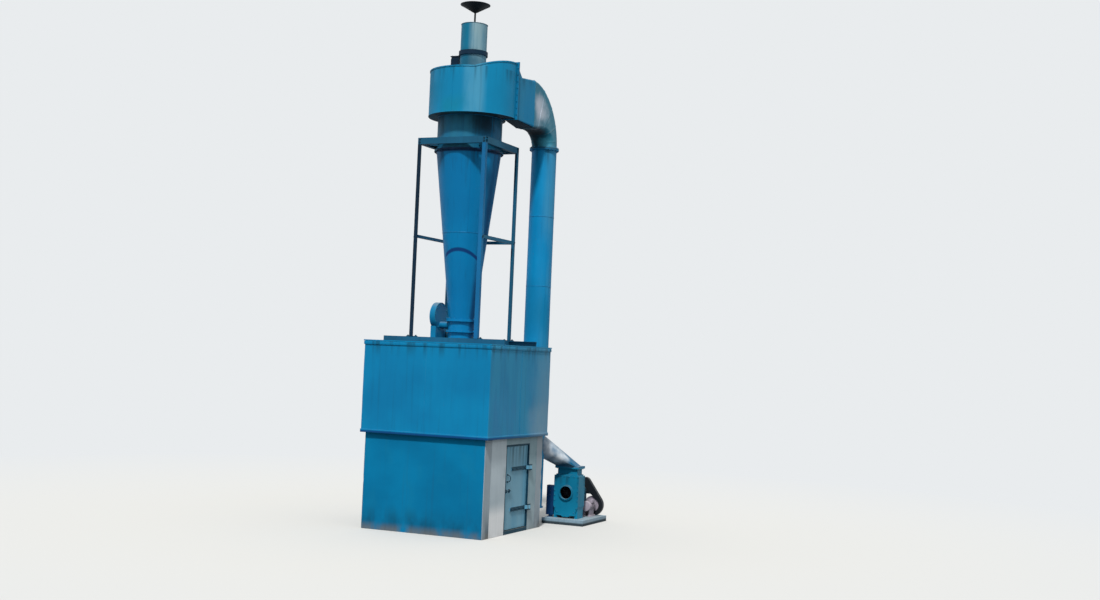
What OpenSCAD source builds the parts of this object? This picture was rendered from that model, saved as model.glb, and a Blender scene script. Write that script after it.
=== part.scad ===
// Cyclone dust separator standing on a steel storage bin over a rendered masonry chamber,
// with its inlet riser duct and a belt driven blower on a skid behind.
// Units are millimetres, Z is up, the origin is on the ground under the cyclone axis.

/* [Chamber] */
// Height of the chamber walls
chamber_h = 1605; // [1200:5:2400]
// Thickness of the chamber walls
wall_t = 240; // [120:10:400]
// Thickness of the chamber floor slab
slab_t = 60; // [30:5:150]

/* [Doorway] */
// Clear width of the doorway in the right hand wall
door_w = 920; // [700:10:1100]
// Height of the lintel over the doorway
lintel_h = 115; // [60:5:400]
// Centre of the doorway along the right hand wall
door_y = 130; // [-200:10:200]
// Thickness of the steel frame lining the doorway
frame_t = 20; // [10:1:40]
// Depth of the steel frame lining the doorway
frame_d = 120; // [80:5:200]
// Thickness of the door leaf
leaf_t = 40; // [25:1:60]
// Recess of the door leaf behind the wall face
leaf_recess = 30; // [10:1:60]
// Clearance around the door leaf
leaf_gap = 12; // [8:1:25]
// Radius of the hinge pins
pin_r = 8; // [6:1:15]
// Clearance between hinge pins and knuckles
pin_gap = 0.3; // [0.2:0.1:1]
// Wall of the hinge knuckles
knuckle_t = 12; // [6:1:20]
// Height of the lower strap hinge
strap_low_z = 400; // [200:10:600]
// Height of the upper strap hinge
strap_high_z = 1080; // [800:10:1400]
// Height of a strap and its knuckle
strap_h = 60; // [40:5:100]

/* [Bin] */
// Outer width and depth of the storage bin
bin_w = 2400; // [2000:10:3400]
// Overhang of the storage bin over the chamber walls
bin_over = 70; // [20:5:200]
// Height of the storage bin
bin_h = 1550; // [1000:10:2500]
// Thickness of the bin side sheets
bin_t = 16; // [8:1:30]
// Thickness of the bin roof and floor sheets
deck_t = 20; // [10:1:40]
// Side of the square discharge chute under the bin
chute_w = 500; // [300:10:800]
// Length of the discharge chute
chute_h = 180; // [100:10:300]

/* [Support frame] */
// Half spacing of the support legs
leg_a = 615; // [500:5:900]
// Leg length of the angle sections
angle_w = 70; // [50:1:120]
// Thickness of the angle sections
angle_t = 9; // [6:1:16]
// Height of the channels on the bin roof
base_h = 85; // [60:5:160]
// Width of the channels on the bin roof
base_w = 60; // [40:5:120]
// Distance of the base channel ends from the bin edges
base_inset = 50; // [0:5:400]
// Height of the middle braces above the bin roof
brace_h = 1775; // [800:5:2600]
// Height of the underside of the top frame above the foot of the barrel
top_lift = 80; // [30:5:300]
// Height of the top frame channels
top_h = 110; // [60:5:180]

/* [Cyclone body] */
// Outer radius of the barrel
barrel_r = 560; // [400:5:800]
// Modelled thickness of the cyclone sheets
sheet_t = 12; // [8:1:20]
// Height of the barrel between the cone and the scroll head
barrel_h = 600; // [400:5:1200]
// Outer radius of the cone outlet
cone_r = 222; // [150:1:300]
// Height of the dust neck between the bin roof and the cone
neck_l = 420; // [320:5:700]
// Height of the lower cone section
cone_low_h = 1475; // [800:5:2200]
// Height of the upper cone section
cone_high_h = 1400; // [800:5:2200]
// Radial width of the flange rings
flange_w = 40; // [20:1:70]
// Thickness of the flange rings
flange_t = 22; // [10:1:40]

/* [Scroll head] */
// Largest radius of the scroll wall
scroll_r = 800; // [700:5:1000]
// Reduction of the scroll radius at every quarter turn
scroll_step = 60; // [30:5:90]
// Height of the scroll head under the level part of its roof
head_h = 785; // [600:5:1200]
// Rise of the sloping part of the head's roof over its run
roof_rise = 380; // [100:10:600]
// Run over which the sloping part of the roof rises
roof_run = 1000; // [800:50:1500]
// Distance of the fold in the roof to the right of the axis
fold_x = 400; // [300:5:600]
// Distance of the inlet flange behind the axis
inlet_y = 60; // [40:5:200]
// Radius of the central outlet pipe
outlet_r = 228; // [150:1:300]
// Depth of the outlet pipe below the scroll floor
vortex_drop = 350; // [100:10:600]
// Height of the collar above the head roof
collar_up = 320; // [100:5:500]
// Height of the collar band round the stack
collar_h = 75; // [30:5:150]
// Height of the stack above the head roof
stack_h = 875; // [600:5:1600]
// Side of the small pressure vent box on the head roof
vent_w = 150; // [100:5:300]
// Height of the pressure vent box
vent_h = 345; // [100:5:450]
// Position of the pressure vent across the front
vent_x = -385; // [-500:5:-340]
// Position of the pressure vent behind the axis
vent_y = 130; // [-200:5:200]

/* [Rain cap] */
// Radius of the rain cap
cap_r = 262; // [200:1:400]
// Depth of the inverted cone of the cap
cap_low_h = 135; // [60:5:300]
// Height of the flat upper cone of the cap
cap_top_h = 50; // [20:5:150]
// Gap between the stack and the point of the cap
cap_gap = 215; // [80:5:300]
// Radius of the central stalk of the cap
stalk_r = 16; // [10:1:30]

/* [Inlet duct] */
// Position of the riser pipe across the front
riser_x = 780; // [600:5:1000]
// Clearance of the riser pipe behind the storage bin
riser_gap = 15; // [10:5:300]
// Radius of the riser pipe
riser_r = 225; // [150:1:260]
// Drop of the riser joint below the scroll floor
elbow_drop = 320; // [200:5:700]
// Distance behind the axis at which the elbow starts
elbow_y = 600; // [400:10:800]
// Half width of the duct where the elbow starts
duct_half_w = 184; // [150:1:250]
// Drop of the duct bottom below the scroll floor where the elbow starts
duct_drop = 65; // [0:5:200]
// Height of the duct where the elbow starts
duct_h = 835; // [600:5:1000]
// Height of the blind lower end of the riser
riser_low_z = 300; // [200:10:800]

/* [Blower] */
// Left edge of the blower skid
skid_x = 910; // [800:5:1100]
// Distance of the blower skid behind the riser pipe
skid_gap = 55; // [30:5:300]
// Width of the blower skid
skid_w = 800; // [600:5:1100]
// Length of the blower skid
skid_l = 1150; // [900:5:1500]
// Height of the skid channels
skid_h = 100; // [60:5:160]
// Width of the skid channels
skid_t = 70; // [40:5:120]
// Distance of the fan shaft from the left edge of the skid
fan_in_x = 380; // [320:5:480]
// Height of the fan shaft above the skid
fan_up = 460; // [400:5:600]
// Half width of the fan casing
fan_half_w = 240; // [200:5:300]
// Height of the fan casing above its shaft
casing_up = 305; // [260:5:440]
// Distance of the fan casing from the front of the skid
fan_in_y = 180; // [130:5:300]
// Depth of the fan casing
fan_d = 290; // [200:5:400]
// Radius of the round air inlet of the fan
fan_inlet_r = 112; // [80:1:160]
// Radius of the fan wheel
wheel_r = 195; // [120:5:210]
// Radius of the fan shaft
shaft_r = 20; // [12:1:35]
// Distance of the belt plane behind the fan casing
belt_back = 590; // [500:5:640]
// Radius of the pulley on the fan shaft
fan_pulley_r = 70; // [50:1:110]
// Radius of the pulley on the motor shaft
motor_pulley_r = 165; // [100:1:190]
// Distance of the motor shaft to the right of the fan shaft
motor_dx = 185; // [170:5:260]
// Clearance of the belt above the skid
belt_clear = 7; // [5:1:40]
// Radius of the motor body
motor_r = 95; // [70:1:120]
// Length of the motor body
motor_l = 320; // [240:5:400]
// Width of the belt guard plate outside the belt line
hood_out = 35; // [30:5:80]
// Radius of the rounded top of the belt guard
hood_r = 100; // [60:5:140]
// Height of the middle of the guard's top over the fan shaft
hood_up = 130; // [0:5:200]
// Distance of the guard's top to the right of the fan shaft
hood_dx = 20; // [0:5:80]
// Width of the belt guard plate inside the belt line
hood_in = 38; // [20:1:50]

/* [Dust outlet] */
// Radius of the round drive guard beside the dust outlet
guard_r = 235; // [150:5:260]
// Thickness of the round drive guard
guard_t = 100; // [60:5:140]
// Distance of the drive guard from the cyclone axis
guard_x = 500; // [450:5:600]

/* [Hidden] */
$fn = 96;
eps = 1;
half = 0.5;
fit = 0.3;
chamber_w = bin_w - 2 * bin_over;
chamber_a = chamber_w * half;
inner_a = chamber_a - wall_t;
bin_a = bin_w * half;
riser_y = bin_a + riser_gap + riser_r;
skid_y = riser_y + riser_r + skid_gap;
door_h = chamber_h - lintel_h;
bin_z = chamber_h;
roof_z = bin_z + bin_h;
frame_z = roof_z + base_h;
base_l = bin_w - 2 * base_inset;
brace_z = roof_z + brace_h;
cone_z = roof_z + neck_l;
cone_joint_z = cone_z + cone_low_h;
barrel_z = cone_joint_z + cone_high_h;
top_z = barrel_z + top_lift;
barrel_ring_z = top_z + top_h;
head_z = barrel_z + barrel_h;
door_y0 = door_y - door_w * half;
door_y1 = door_y + door_w * half;
leaf_w = door_w - 2 * frame_t - 2 * leaf_gap;
leaf_z0 = slab_t + leaf_gap;
leaf_z1 = door_h - frame_t - leaf_gap;
leaf_x = chamber_a - leaf_recess - leaf_t;
knuckle_r = pin_r + pin_gap + knuckle_t;
hinge_x = chamber_a + knuckle_r + 6;
hinge_y = door_y1 + 22;
strap_t = 12;
strap_l = 620;
head_mid = head_z + head_h;
slope = roof_rise / roof_run;
scroll_c = scroll_step * half;
scroll_x = scroll_c + scroll_r;
roof_rim = 8;
roof_top = head_mid + sheet_t * half;
collar_z = head_mid + collar_up;
stack_z = head_mid + stack_h;
inlet_x0 = scroll_c + scroll_r - 4 * scroll_step + 2;
cap_z = stack_z + cap_gap;
cap_mid_z = cap_z + cap_low_h;
collar_w = 24;
neck_ring_up = 190;
elbow_z = head_z - elbow_drop;
duct_low_z = head_z - duct_drop;
duct_top_z = duct_low_z + duct_h;
riser_foot_w = 240;
riser_foot_r = 70;
ring_n = 48;
seg_n = 12;
belt_w = 46;
belt_t = 18;
fan_a = fan_half_w;
skid_top = skid_h;
fan_x = skid_x + fan_in_x;
fan_y = skid_y + fan_in_y;
fan_z = skid_top + fan_up;
fan_top_z = fan_z + casing_up;
casing_foot_drop = 200;
belt_y = fan_y + fan_d + belt_back;
motor_x = fan_x + motor_dx;
motor_z = skid_top + motor_pulley_r + belt_t + belt_clear;
pedestal_a = motor_dx - motor_r - 12;
neck_h = 150;
neck_half_x = 190;
neck_half_y = 110;
conn_z = 1500;
conn_r = 205;
stand_x = skid_x + 60;
stand_in = 255;
stand_y = skid_y + stand_in;
fan_mid_y = fan_y + fan_d * half;
neck_top = fan_top_z + neck_h;

steel_blue = [0.05, 0.45, 0.62];
steel_dark = [0.06, 0.20, 0.28];
render_pale = [0.70, 0.69, 0.68];
wall_blue = [0.04, 0.40, 0.58];
black_steel = [0.06, 0.07, 0.08];
pale_grey = [0.62, 0.63, 0.62];
rubber_black = [0.03, 0.03, 0.03];

// Plain box given by its lower corner and its size.
module block(p, s) {
  translate(p) cube(s);
}

// Round tube standing on z, with outer radius r and wall t.
module tube(r, t, z, h) {
  translate([0, 0, z]) difference() {
    cylinder(r = r, h = h);
    translate([0, 0, -eps]) cylinder(r = r - t, h = h + 2 * eps);
  }
}

// Flat ring whose bore is r_in and whose rim is r_out.
module ring(r_in, r_out, z, h) {
  tube(r_out, r_out - r_in, z, h);
}

// Conical tube between two heights.
module taper(r0, r1, z0, z1, t) {
  difference() {
    translate([0, 0, z0]) cylinder(r1 = r0, r2 = r1, h = z1 - z0);
    translate([0, 0, z0 - eps]) cylinder(r1 = r0 - t, r2 = r1 - t, h = z1 - z0 + 2 * eps);
  }
}

// Outer radius of the cone at a given height.
function cone_at(z) = cone_r + (barrel_r - cone_r) * (z - cone_z) / (barrel_z - cone_z);

// Point i of n on a rounded rectangle of half sizes a and b with corner radius r.
function rr_point(a, b, r, i, n) =
  let (q = floor(4 * i / n), t = 90 * q + 90 * (i - q * n / 4) / (n / 4 - 1),
       sx = (q == 0 || q == 3) ? 1 : -1, sy = (q < 2) ? 1 : -1)
  [sx * (a - r) + r * cos(t), sy * (b - r) + r * sin(t)];

// Section given as centre, half width, half height, corner radius and tilt from upright.
function loft_ring(s, inset, n) =
  [for (i = [0 : n - 1])
    let (p = rr_point(s[3] - inset, s[4] - inset, max(s[5] - inset, 2), i, n))
    [s[0] + p[0], s[1] + p[1] * sin(s[6]), s[2] + p[1] * cos(s[6])]];

// Side triangles between two rows of n points, row k0 towards row k1.
function side_faces(k0, k1, n) =
  [for (i = [0 : n - 1])
    let (j = (i + 1) % n, f = [k0 * n + i, k0 * n + j, k1 * n + j, k1 * n + i])
    each [[f[0], f[1], f[2]], [f[0], f[2], f[3]]]];

// Solid skin through a list of sections.
module loft(sections, inset, n) {
  m = len(sections);
  pts = [for (s = sections) each loft_ring(s, inset, n)];
  sides = [for (k = [0 : m - 2]) each side_faces(k, k + 1, n)];
  polyhedron(
    points = pts,
    faces = concat([[for (i = [n - 1 : -1 : 0]) i]], sides,
                   [[for (i = [0 : n - 1]) (m - 1) * n + i]]),
    convexity = 4);
}

// Quarter of the scroll outline around one of its four centres.
module scroll_quarter(cx, cy, r, sx, sy) {
  intersection() {
    translate([cx, cy]) circle(r = r);
    translate([sx > 0 ? cx : cx - 2 * scroll_r, sy > 0 ? cy : cy - 2 * scroll_r])
      square([2 * scroll_r, 2 * scroll_r]);
  }
}

// Plan of the scroll, inset by t from the outer face.
module scroll_plan(t) {
  c = scroll_c;
  union() {
    scroll_quarter(c, c, scroll_r - t, 1, -1);
    scroll_quarter(c, -c, scroll_r - scroll_step - t, -1, -1);
    scroll_quarter(-c, -c, scroll_r - 2 * scroll_step - t, -1, 1);
    scroll_quarter(-c, c, scroll_r - 3 * scroll_step - t, 1, 1);
    translate([-scroll_r * half, -scroll_r * half]) square([scroll_r, scroll_r * half + c]);
    translate([0, c - eps]) square([inlet_x0 * half, eps * 2]);
  }
}

// Everything above the folded roof raised by d: level up to the fold, then rising to the inlet.
module above_roof(d) {
  big = 4 * scroll_r;
  intersection() {
    translate([-big * half, -big * half, head_mid + d]) cube([big, big, big]);
    translate([fold_x, 0, head_mid + d]) rotate([0, -atan(slope), 0])
      translate([-big * half, -big * half, 0]) cube([big, big, big]);
  }
}

// Angle section leg, heel at the outer corner, opening towards the axis.
module leg(sx, sy) {
  color(steel_dark) translate([sx * leg_a, sy * leg_a, frame_z])
    mirror([sx > 0 ? 1 : 0, 0, 0]) mirror([0, sy > 0 ? 1 : 0, 0]) {
      h = top_z - frame_z;
      translate([-angle_w * half, -angle_w * half, 0]) cube([angle_w, angle_t, h]);
      translate([-angle_w * half, -angle_w * half, 0]) cube([angle_t, angle_w, h]);
    }
}

// Horizontal channel along x, open towards +y when s is positive.
module channel_x(x0, l, y, z, w, h, s) {
  t = angle_t;
  y0 = s > 0 ? y : y + w - t;
  translate([x0, y0, z]) cube([l, t, h]);
  translate([x0, y, z]) cube([l, w, t]);
  translate([x0, y, z + h - t]) cube([l, w, t]);
}

// Horizontal channel along y, open towards +x when s is positive.
module channel_y(y0, l, x, z, w, h, s) {
  t = angle_t;
  x0 = s > 0 ? x : x + w - t;
  translate([x0, y0, z]) cube([t, l, h]);
  translate([x, y0, z]) cube([w, l, t]);
  translate([x, y0, z + h - t]) cube([w, l, t]);
}

module chamber_floor() {
  color(render_pale) block([-inner_a, -inner_a, 0], [2 * inner_a, 2 * inner_a, slab_t]);
}

module chamber_front_wall() {
  color(wall_blue) block([-chamber_a, -chamber_a, 0], [chamber_w, wall_t, chamber_h]);
}

module chamber_back_wall() {
  color(wall_blue) block([-chamber_a, inner_a, 0], [chamber_w, wall_t, chamber_h]);
}

module chamber_left_wall() {
  color(wall_blue) block([-chamber_a, -inner_a, 0], [wall_t, 2 * inner_a, chamber_h]);
}

module chamber_near_pier() {
  color(render_pale) block([inner_a, -inner_a, 0], [wall_t, door_y0 + inner_a, chamber_h]);
}

module chamber_far_pier() {
  color(render_pale) block([inner_a, door_y1, 0], [wall_t, inner_a - door_y1, chamber_h]);
}

module chamber_lintel() {
  color(render_pale) block([inner_a, door_y0, door_h], [wall_t, door_w, chamber_h - door_h]);
}

// Lining of the doorway with the two hinge brackets and their pins.
module door_frame() {
  fx = chamber_a - frame_d;
  stop_t = 14;
  color(steel_dark) {
    block([fx, door_y0, 0], [frame_d, frame_t, door_h - frame_t]);
    block([fx, door_y1 - frame_t, 0], [frame_d, frame_t, door_h - frame_t]);
    block([fx, door_y0, door_h - frame_t], [frame_d, door_w, frame_t]);
    block([fx, door_y0 + frame_t, door_h - frame_t - 2 * stop_t - leaf_gap],
          [stop_t, door_w - 2 * frame_t, 2 * stop_t + leaf_gap]);
    block([inner_a, door_y0, 0], [wall_t, door_w, slab_t]);
    for (z = [strap_low_z, strap_high_z]) {
      for (dz = [-strap_h * half - 6 - strap_t, strap_h * half + 6]) {
        block([chamber_a, hinge_y - knuckle_r, z + dz], [hinge_x - chamber_a, 80, strap_t]);
        translate([hinge_x, hinge_y, z + dz]) cylinder(r = knuckle_r, h = strap_t);
      }
      block([chamber_a, hinge_y + knuckle_r + 12, z - strap_h * half - 6],
            [strap_t, 80 - 2 * knuckle_r - 12, strap_h + 12]);
      translate([hinge_x, hinge_y, z - strap_h * half - 8])
        cylinder(r = pin_r, h = strap_h + 16);
    }
  }
}

// Door leaf with two cranked strap hinges and two cross rails.
module access_door() {
  y1 = door_y1 - frame_t - leaf_gap;
  sx = leaf_x + leaf_t;
  rail = 50;
  color(steel_blue) {
    block([leaf_x, y1 - leaf_w, leaf_z0], [leaf_t, leaf_w, leaf_z1 - leaf_z0]);
    for (z = [strap_low_z, strap_high_z]) {
      difference() {
        union() {
          block([sx, y1 - strap_l, z - strap_h * half], [strap_t, strap_l, strap_h]);
          block([sx, y1 - rail, z - strap_h * half],
                [hinge_x + strap_t * half - sx, rail * half, strap_h]);
          block([hinge_x - strap_t * half, y1 - rail, z - strap_h * half],
                [strap_t, hinge_y - y1 + rail, strap_h]);
          translate([hinge_x, hinge_y, z - strap_h * half])
            cylinder(r = knuckle_r, h = strap_h);
        }
        translate([hinge_x, hinge_y, z - strap_h])
          cylinder(r = pin_r + pin_gap, h = 2 * strap_h);
      }
    }
  }
}

module bin_shell() {
  color(steel_blue) difference() {
    block([-bin_a, -bin_a, bin_z], [bin_w, bin_w, bin_h - deck_t]);
    block([-bin_a + bin_t, -bin_a + bin_t, bin_z - eps],
          [bin_w - 2 * bin_t, bin_w - 2 * bin_t, bin_h + 2 * eps]);
  }
}

module bin_floor() {
  a = bin_a - bin_t;
  color(steel_dark) difference() {
    block([-a, -a, bin_z], [2 * a, 2 * a, deck_t]);
    block([-chute_w * half, -chute_w * half, bin_z - eps], [chute_w, chute_w, deck_t + 2 * eps]);
  }
}

module bin_roof() {
  color(steel_blue) difference() {
    block([-bin_a, -bin_a, roof_z - deck_t], [bin_w, bin_w, deck_t]);
    translate([0, 0, roof_z - 2 * deck_t]) cylinder(r = cone_r - sheet_t, h = 3 * deck_t);
  }
}

module bin_chute() {
  t = 10;
  a = chute_w * half;
  f = a + flange_w;
  color(steel_dark) difference() {
    union() {
      block([-a - t, -a - t, bin_z - chute_h], [chute_w + 2 * t, chute_w + 2 * t, chute_h]);
      block([-f, -f, bin_z - chute_h], [2 * f, 2 * f, flange_t]);
    }
    block([-a, -a, bin_z - chute_h - eps], [chute_w, chute_w, chute_h + 2 * eps]);
  }
}

// Channels on the bin roof that carry the legs.
module base_frame() {
  x0 = -base_l * half;
  inner_l = 2 * leg_a - base_w;
  color(steel_dark) {
    channel_x(x0, base_l, -leg_a - base_w * half, roof_z, base_w, base_h, 1);
    channel_x(x0, base_l, leg_a - base_w * half, roof_z, base_w, base_h, -1);
    channel_y(-inner_l * half, inner_l, -leg_a - base_w * half, roof_z, base_w, base_h, 1);
    channel_y(-inner_l * half, inner_l, leg_a - base_w * half, roof_z, base_w, base_h, -1);
  }
}

module leg_front_left() {
  leg(-1, -1);
}

module leg_front_right() {
  leg(1, -1);
}

module leg_back_left() {
  leg(-1, 1);
}

module leg_back_right() {
  leg(1, 1);
}

// Angle braces between the legs on the left, right and back, with ties to the cone.
module mid_braces() {
  t = angle_t;
  w = angle_w * 0.8;
  o = leg_a + angle_w * half - t;
  i = o - w;
  color(steel_dark) {
    for (s = [-1, 1]) {
      translate([s > 0 ? o - t : -o, -o, brace_z]) cube([t, o + i - 1, w]);
      translate([s > 0 ? i : -o, -o, brace_z]) cube([w, o + i - 1, t]);
    }
    translate([-i, o - t, brace_z]) cube([2 * i, t, w]);
    translate([-i, i, brace_z]) cube([2 * i, w, t]);
  }
}

// Square channel frame on top of the legs with four brackets to the barrel.
module top_frame() {
  w = angle_w;
  l = 2 * leg_a + w;
  inner_l = 2 * leg_a - w;
  t = angle_t;
  r_in = barrel_r + 2;
  color(steel_dark) {
    channel_x(-l * half, l, -leg_a - w * half, top_z, w, top_h, 1);
    channel_x(-l * half, l, leg_a - w * half, top_z, w, top_h, -1);
    channel_y(-inner_l * half, inner_l, -leg_a - w * half, top_z, w, top_h, 1);
    channel_y(-inner_l * half, inner_l, leg_a - w * half, top_z, w, top_h, -1);
    intersection() {
      for (k = [0 : 3]) {
        rotate([0, 0, 45 + 90 * k]) translate([r_in, -t, top_z])
          cube([leg_a * 2 - r_in, 2 * t, top_h]);
      }
      translate([-inner_l * half, -inner_l * half, top_z]) cube([inner_l, inner_l, top_h]);
    }
  }
}

// Short neck between the cone and the bin roof with a flange at each end.
module dust_neck() {
  r = cone_r;
  color(steel_blue) union() {
    tube(r, sheet_t, roof_z, cone_z - flange_t - roof_z);
    ring(r - sheet_t, r + flange_w, roof_z, flange_t);
    ring(r - sheet_t, r + flange_w, cone_z - 2 * flange_t, flange_t);
    ring(r - sheet_t, r + flange_w, roof_z + neck_ring_up, flange_t);
  }
}

// Round drive guard on a foot plate, with its shaft housing towards the neck.
module valve_guard() {
  gz = cone_z + 45;
  foot = 60;
  hx = guard_x - guard_t;
  color(steel_blue) union() {
    translate([-guard_x, 0, gz]) rotate([0, 90, 0]) cylinder(r = guard_r, h = guard_t);
    block([-guard_x, -guard_r * 0.75, roof_z], [guard_t, guard_r * 1.5, gz - guard_r - roof_z + foot]);
    difference() {
      translate([-hx, 0, cone_z - 110]) rotate([0, 90, 0]) cylinder(r = foot, h = hx);
      translate([0, 0, roof_z]) cylinder(r = cone_r + fit, h = 2 * foot + cone_z - roof_z);
    }
  }
}

// Small geared motor standing behind the drive guard.
module valve_gearmotor() {
  r = 85;
  l = 260;
  mx = -guard_x + guard_t;
  my = guard_r + 80;
  up = 140;
  mz = roof_z + up;
  color(steel_dark) union() {
    translate([mx - 60, my, mz]) rotate([0, 90, 0]) cylinder(r = r, h = l);
    block([mx - 40, my - r, roof_z], [l * 0.6, 2 * r, up]);
    block([mx - 90, my - r * 0.8, mz - r * 0.8], [90, r * 1.6, r * 1.6]);
    block([mx - guard_t, guard_r * 0.75 + fit, mz - 40], [guard_t * 0.6, my - guard_r * 0.75, 80]);
  }
}

module cone_lower() {
  color(steel_blue) union() {
    taper(cone_r, cone_at(cone_joint_z), cone_z, cone_joint_z, sheet_t);
    difference() {
      translate([0, 0, cone_z - flange_t]) cylinder(r = cone_r + flange_w, h = flange_t);
      translate([0, 0, cone_z - 2 * flange_t]) cylinder(r = cone_r - sheet_t, h = 3 * flange_t);
    }
  }
}

module cone_upper() {
  color(steel_blue)
    taper(cone_at(cone_joint_z), barrel_r, cone_joint_z, barrel_z, sheet_t);
}

// Cylindrical part of the cyclone with its foot flange and stiffening ring.
module barrel() {
  r = barrel_r;
  h = head_z - barrel_z;
  color(steel_blue) union() {
    tube(r, sheet_t, barrel_z, h);
    ring(r - sheet_t, r + flange_w, barrel_z, flange_t);
    ring(r - sheet_t, r + flange_w, barrel_ring_z, flange_t);
  }
}

// Spiral wall with its floor and the tangential inlet mouth.
module scroll_shell() {
  t = sheet_t;
  c = scroll_c;
  big = 2 * head_h;
  color(steel_blue) difference() {
    union() {
      translate([0, 0, head_z]) linear_extrude(height = big) scroll_plan(0);
      block([inlet_x0 - 2 * t, c - eps, head_z], [scroll_x - inlet_x0 + 2 * t, inlet_y - c + eps, big]);
    }
    translate([0, 0, head_z + t]) linear_extrude(height = big) scroll_plan(t);
    block([inlet_x0, -c, head_z + t], [scroll_x - t - inlet_x0, inlet_y + 2 * c, big]);
    translate([0, 0, head_z - eps]) cylinder(r = barrel_r - t, h = t + 2 * eps);
    above_roof(-t);
  }
}

// Folded roof plate of the scroll head.
module scroll_roof() {
  t = sheet_t;
  c = scroll_c;
  rim = roof_rim;
  color(steel_blue) difference() {
    intersection() {
      translate([0, 0, head_z]) linear_extrude(height = 2 * head_h) union() {
        scroll_plan(-rim);
        translate([inlet_x0 - 2 * t, -c]) square([scroll_x + rim - inlet_x0 + 2 * t, inlet_y + c]);
      }
      above_roof(-t);
    }
    above_roof(t * half);
    translate([0, 0, head_z]) cylinder(r = outlet_r + fit, h = 2 * head_h);
    block([inlet_x0 - 2, inlet_y, head_z], [scroll_r, scroll_r, 2 * head_h]);
  }
}

// Small pressure vent box with an overhanging lid, on the level roof left of the stack.
module pressure_vent() {
  a = vent_w * half;
  lid = 12;
  over = 14;
  color(steel_dark) translate([vent_x, vent_y, roof_top]) union() {
    block([-a, -a, 0], [vent_w, vent_w, vent_h]);
    block([-a - over, -a - over, vent_h], [vent_w + 2 * over, vent_w + 2 * over, lid]);
  }
}

// Central outlet pipe and exhaust stack.
module outlet_stack() {
  z0 = head_z - vortex_drop;
  color(steel_blue) tube(outlet_r, sheet_t, z0, stack_z - z0);
}

// Clamped band round the stack, drawn together by a bolted lug at the back.
module stack_collar() {
  r = outlet_r + fit;
  lug = 45;
  gap = 10;
  color(steel_dark) difference() {
    union() {
      ring(r, outlet_r + collar_w, collar_z, collar_h);
      block([-lug * half, r + gap * half, collar_z], [lug, collar_w + lug - gap, collar_h]);
    }
    block([-gap * half, r - gap, collar_z - eps], [gap, collar_w + 2 * lug, collar_h + 2 * eps]);
  }
}

// Stalk of the rain cap on a cross bar in the mouth of the stack.
module cap_stalk() {
  r_in = outlet_r - sheet_t - fit;
  h = 30;
  z = stack_z - 60;
  color(black_steel) union() {
    translate([0, 0, z]) cylinder(r = stalk_r, h = cap_z - z + cap_low_h * 0.2);
    intersection() {
      union() {
        block([-r_in, -6, z], [2 * r_in, 12, h]);
        block([-6, -r_in, z], [12, 2 * r_in, h]);
      }
      translate([0, 0, z]) cylinder(r = r_in, h = h);
    }
  }
}

// Inverted cone below a flat upper cone.
module rain_cap() {
  h = cap_low_h;
  color(black_steel) difference() {
    union() {
      translate([0, 0, cap_z]) cylinder(r1 = stalk_r + 10, r2 = cap_r, h = h);
      translate([0, 0, cap_mid_z]) cylinder(r1 = cap_r, r2 = stalk_r, h = cap_top_h);
    }
    translate([0, 0, cap_z - eps]) cylinder(r = stalk_r + fit, h = h * 0.2 + fit + eps);
  }
}

// Sections of the rectangular to elbow transition.
inlet_top_z = head_mid + slope * (scroll_x - fold_x);
tr_mid_x = (inlet_x0 + scroll_x) * half;
tr_mid_a = (scroll_x - inlet_x0) * half;
duct_mid_z = (duct_low_z + duct_top_z) * half;
duct_half_h = (duct_top_z - duct_low_z) * half;
elbow_x = riser_x - 23;
tr_l = 160;
tr_top_y = inlet_y + tr_l;
tr_top_z = duct_top_z - 30;
tr_drop = 20;
tr_s0 = [tr_mid_x, inlet_y, (head_z + inlet_top_z) * half, tr_mid_a,
         (inlet_top_z - head_z) * half, 14, 0];
tr_s1 = [tr_mid_x + 16, tr_top_y, (head_z - tr_drop + tr_top_z) * half, tr_mid_a + 16,
         (tr_top_z - head_z + tr_drop) * half, 18, 0];
tr_s2 = [elbow_x, elbow_y, duct_mid_z, duct_half_w, duct_half_h, 40, 0];
transition_s = [tr_s0, tr_s1, tr_s2];

module inlet_transition() {
  n = ring_n;
  f = tr_mid_a + flange_w;
  color(steel_blue) difference() {
    union() {
      loft(transition_s, 0, n);
      translate([tr_mid_x - f, inlet_y, head_z - tr_drop])
        cube([2 * f, flange_t, inlet_top_z - head_z + tr_drop + 30]);
    }
    loft([for (k = [0 : 2]) [for (i = [0 : 6])
          i == 1 ? transition_s[k][1] + (k == 0 ? -eps : (k == 2 ? eps : 0))
                 : transition_s[k][i]]], sheet_t, n);
    translate([-scroll_c, scroll_c, head_z - flange_w])
      cylinder(r = scroll_r - 3 * scroll_step + roof_rim + fit, h = 2 * head_h);
  }
}

// Sections of the elbow, which turns down while it changes from a tall duct to a round pipe.
function elbow_section(u) =
  let (phi = 90 * u, w = u * u * (3 - 2 * u))
  [elbow_x + (riser_x - elbow_x) * w,
   elbow_y + (riser_y - elbow_y) * sin(phi),
   elbow_z + (duct_mid_z - elbow_z) * cos(phi),
   duct_half_w + (riser_r - duct_half_w) * w,
   duct_half_h + (riser_r - duct_half_h) * w,
   40 + (riser_r - 40 - 0.5) * w,
   phi];

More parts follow.
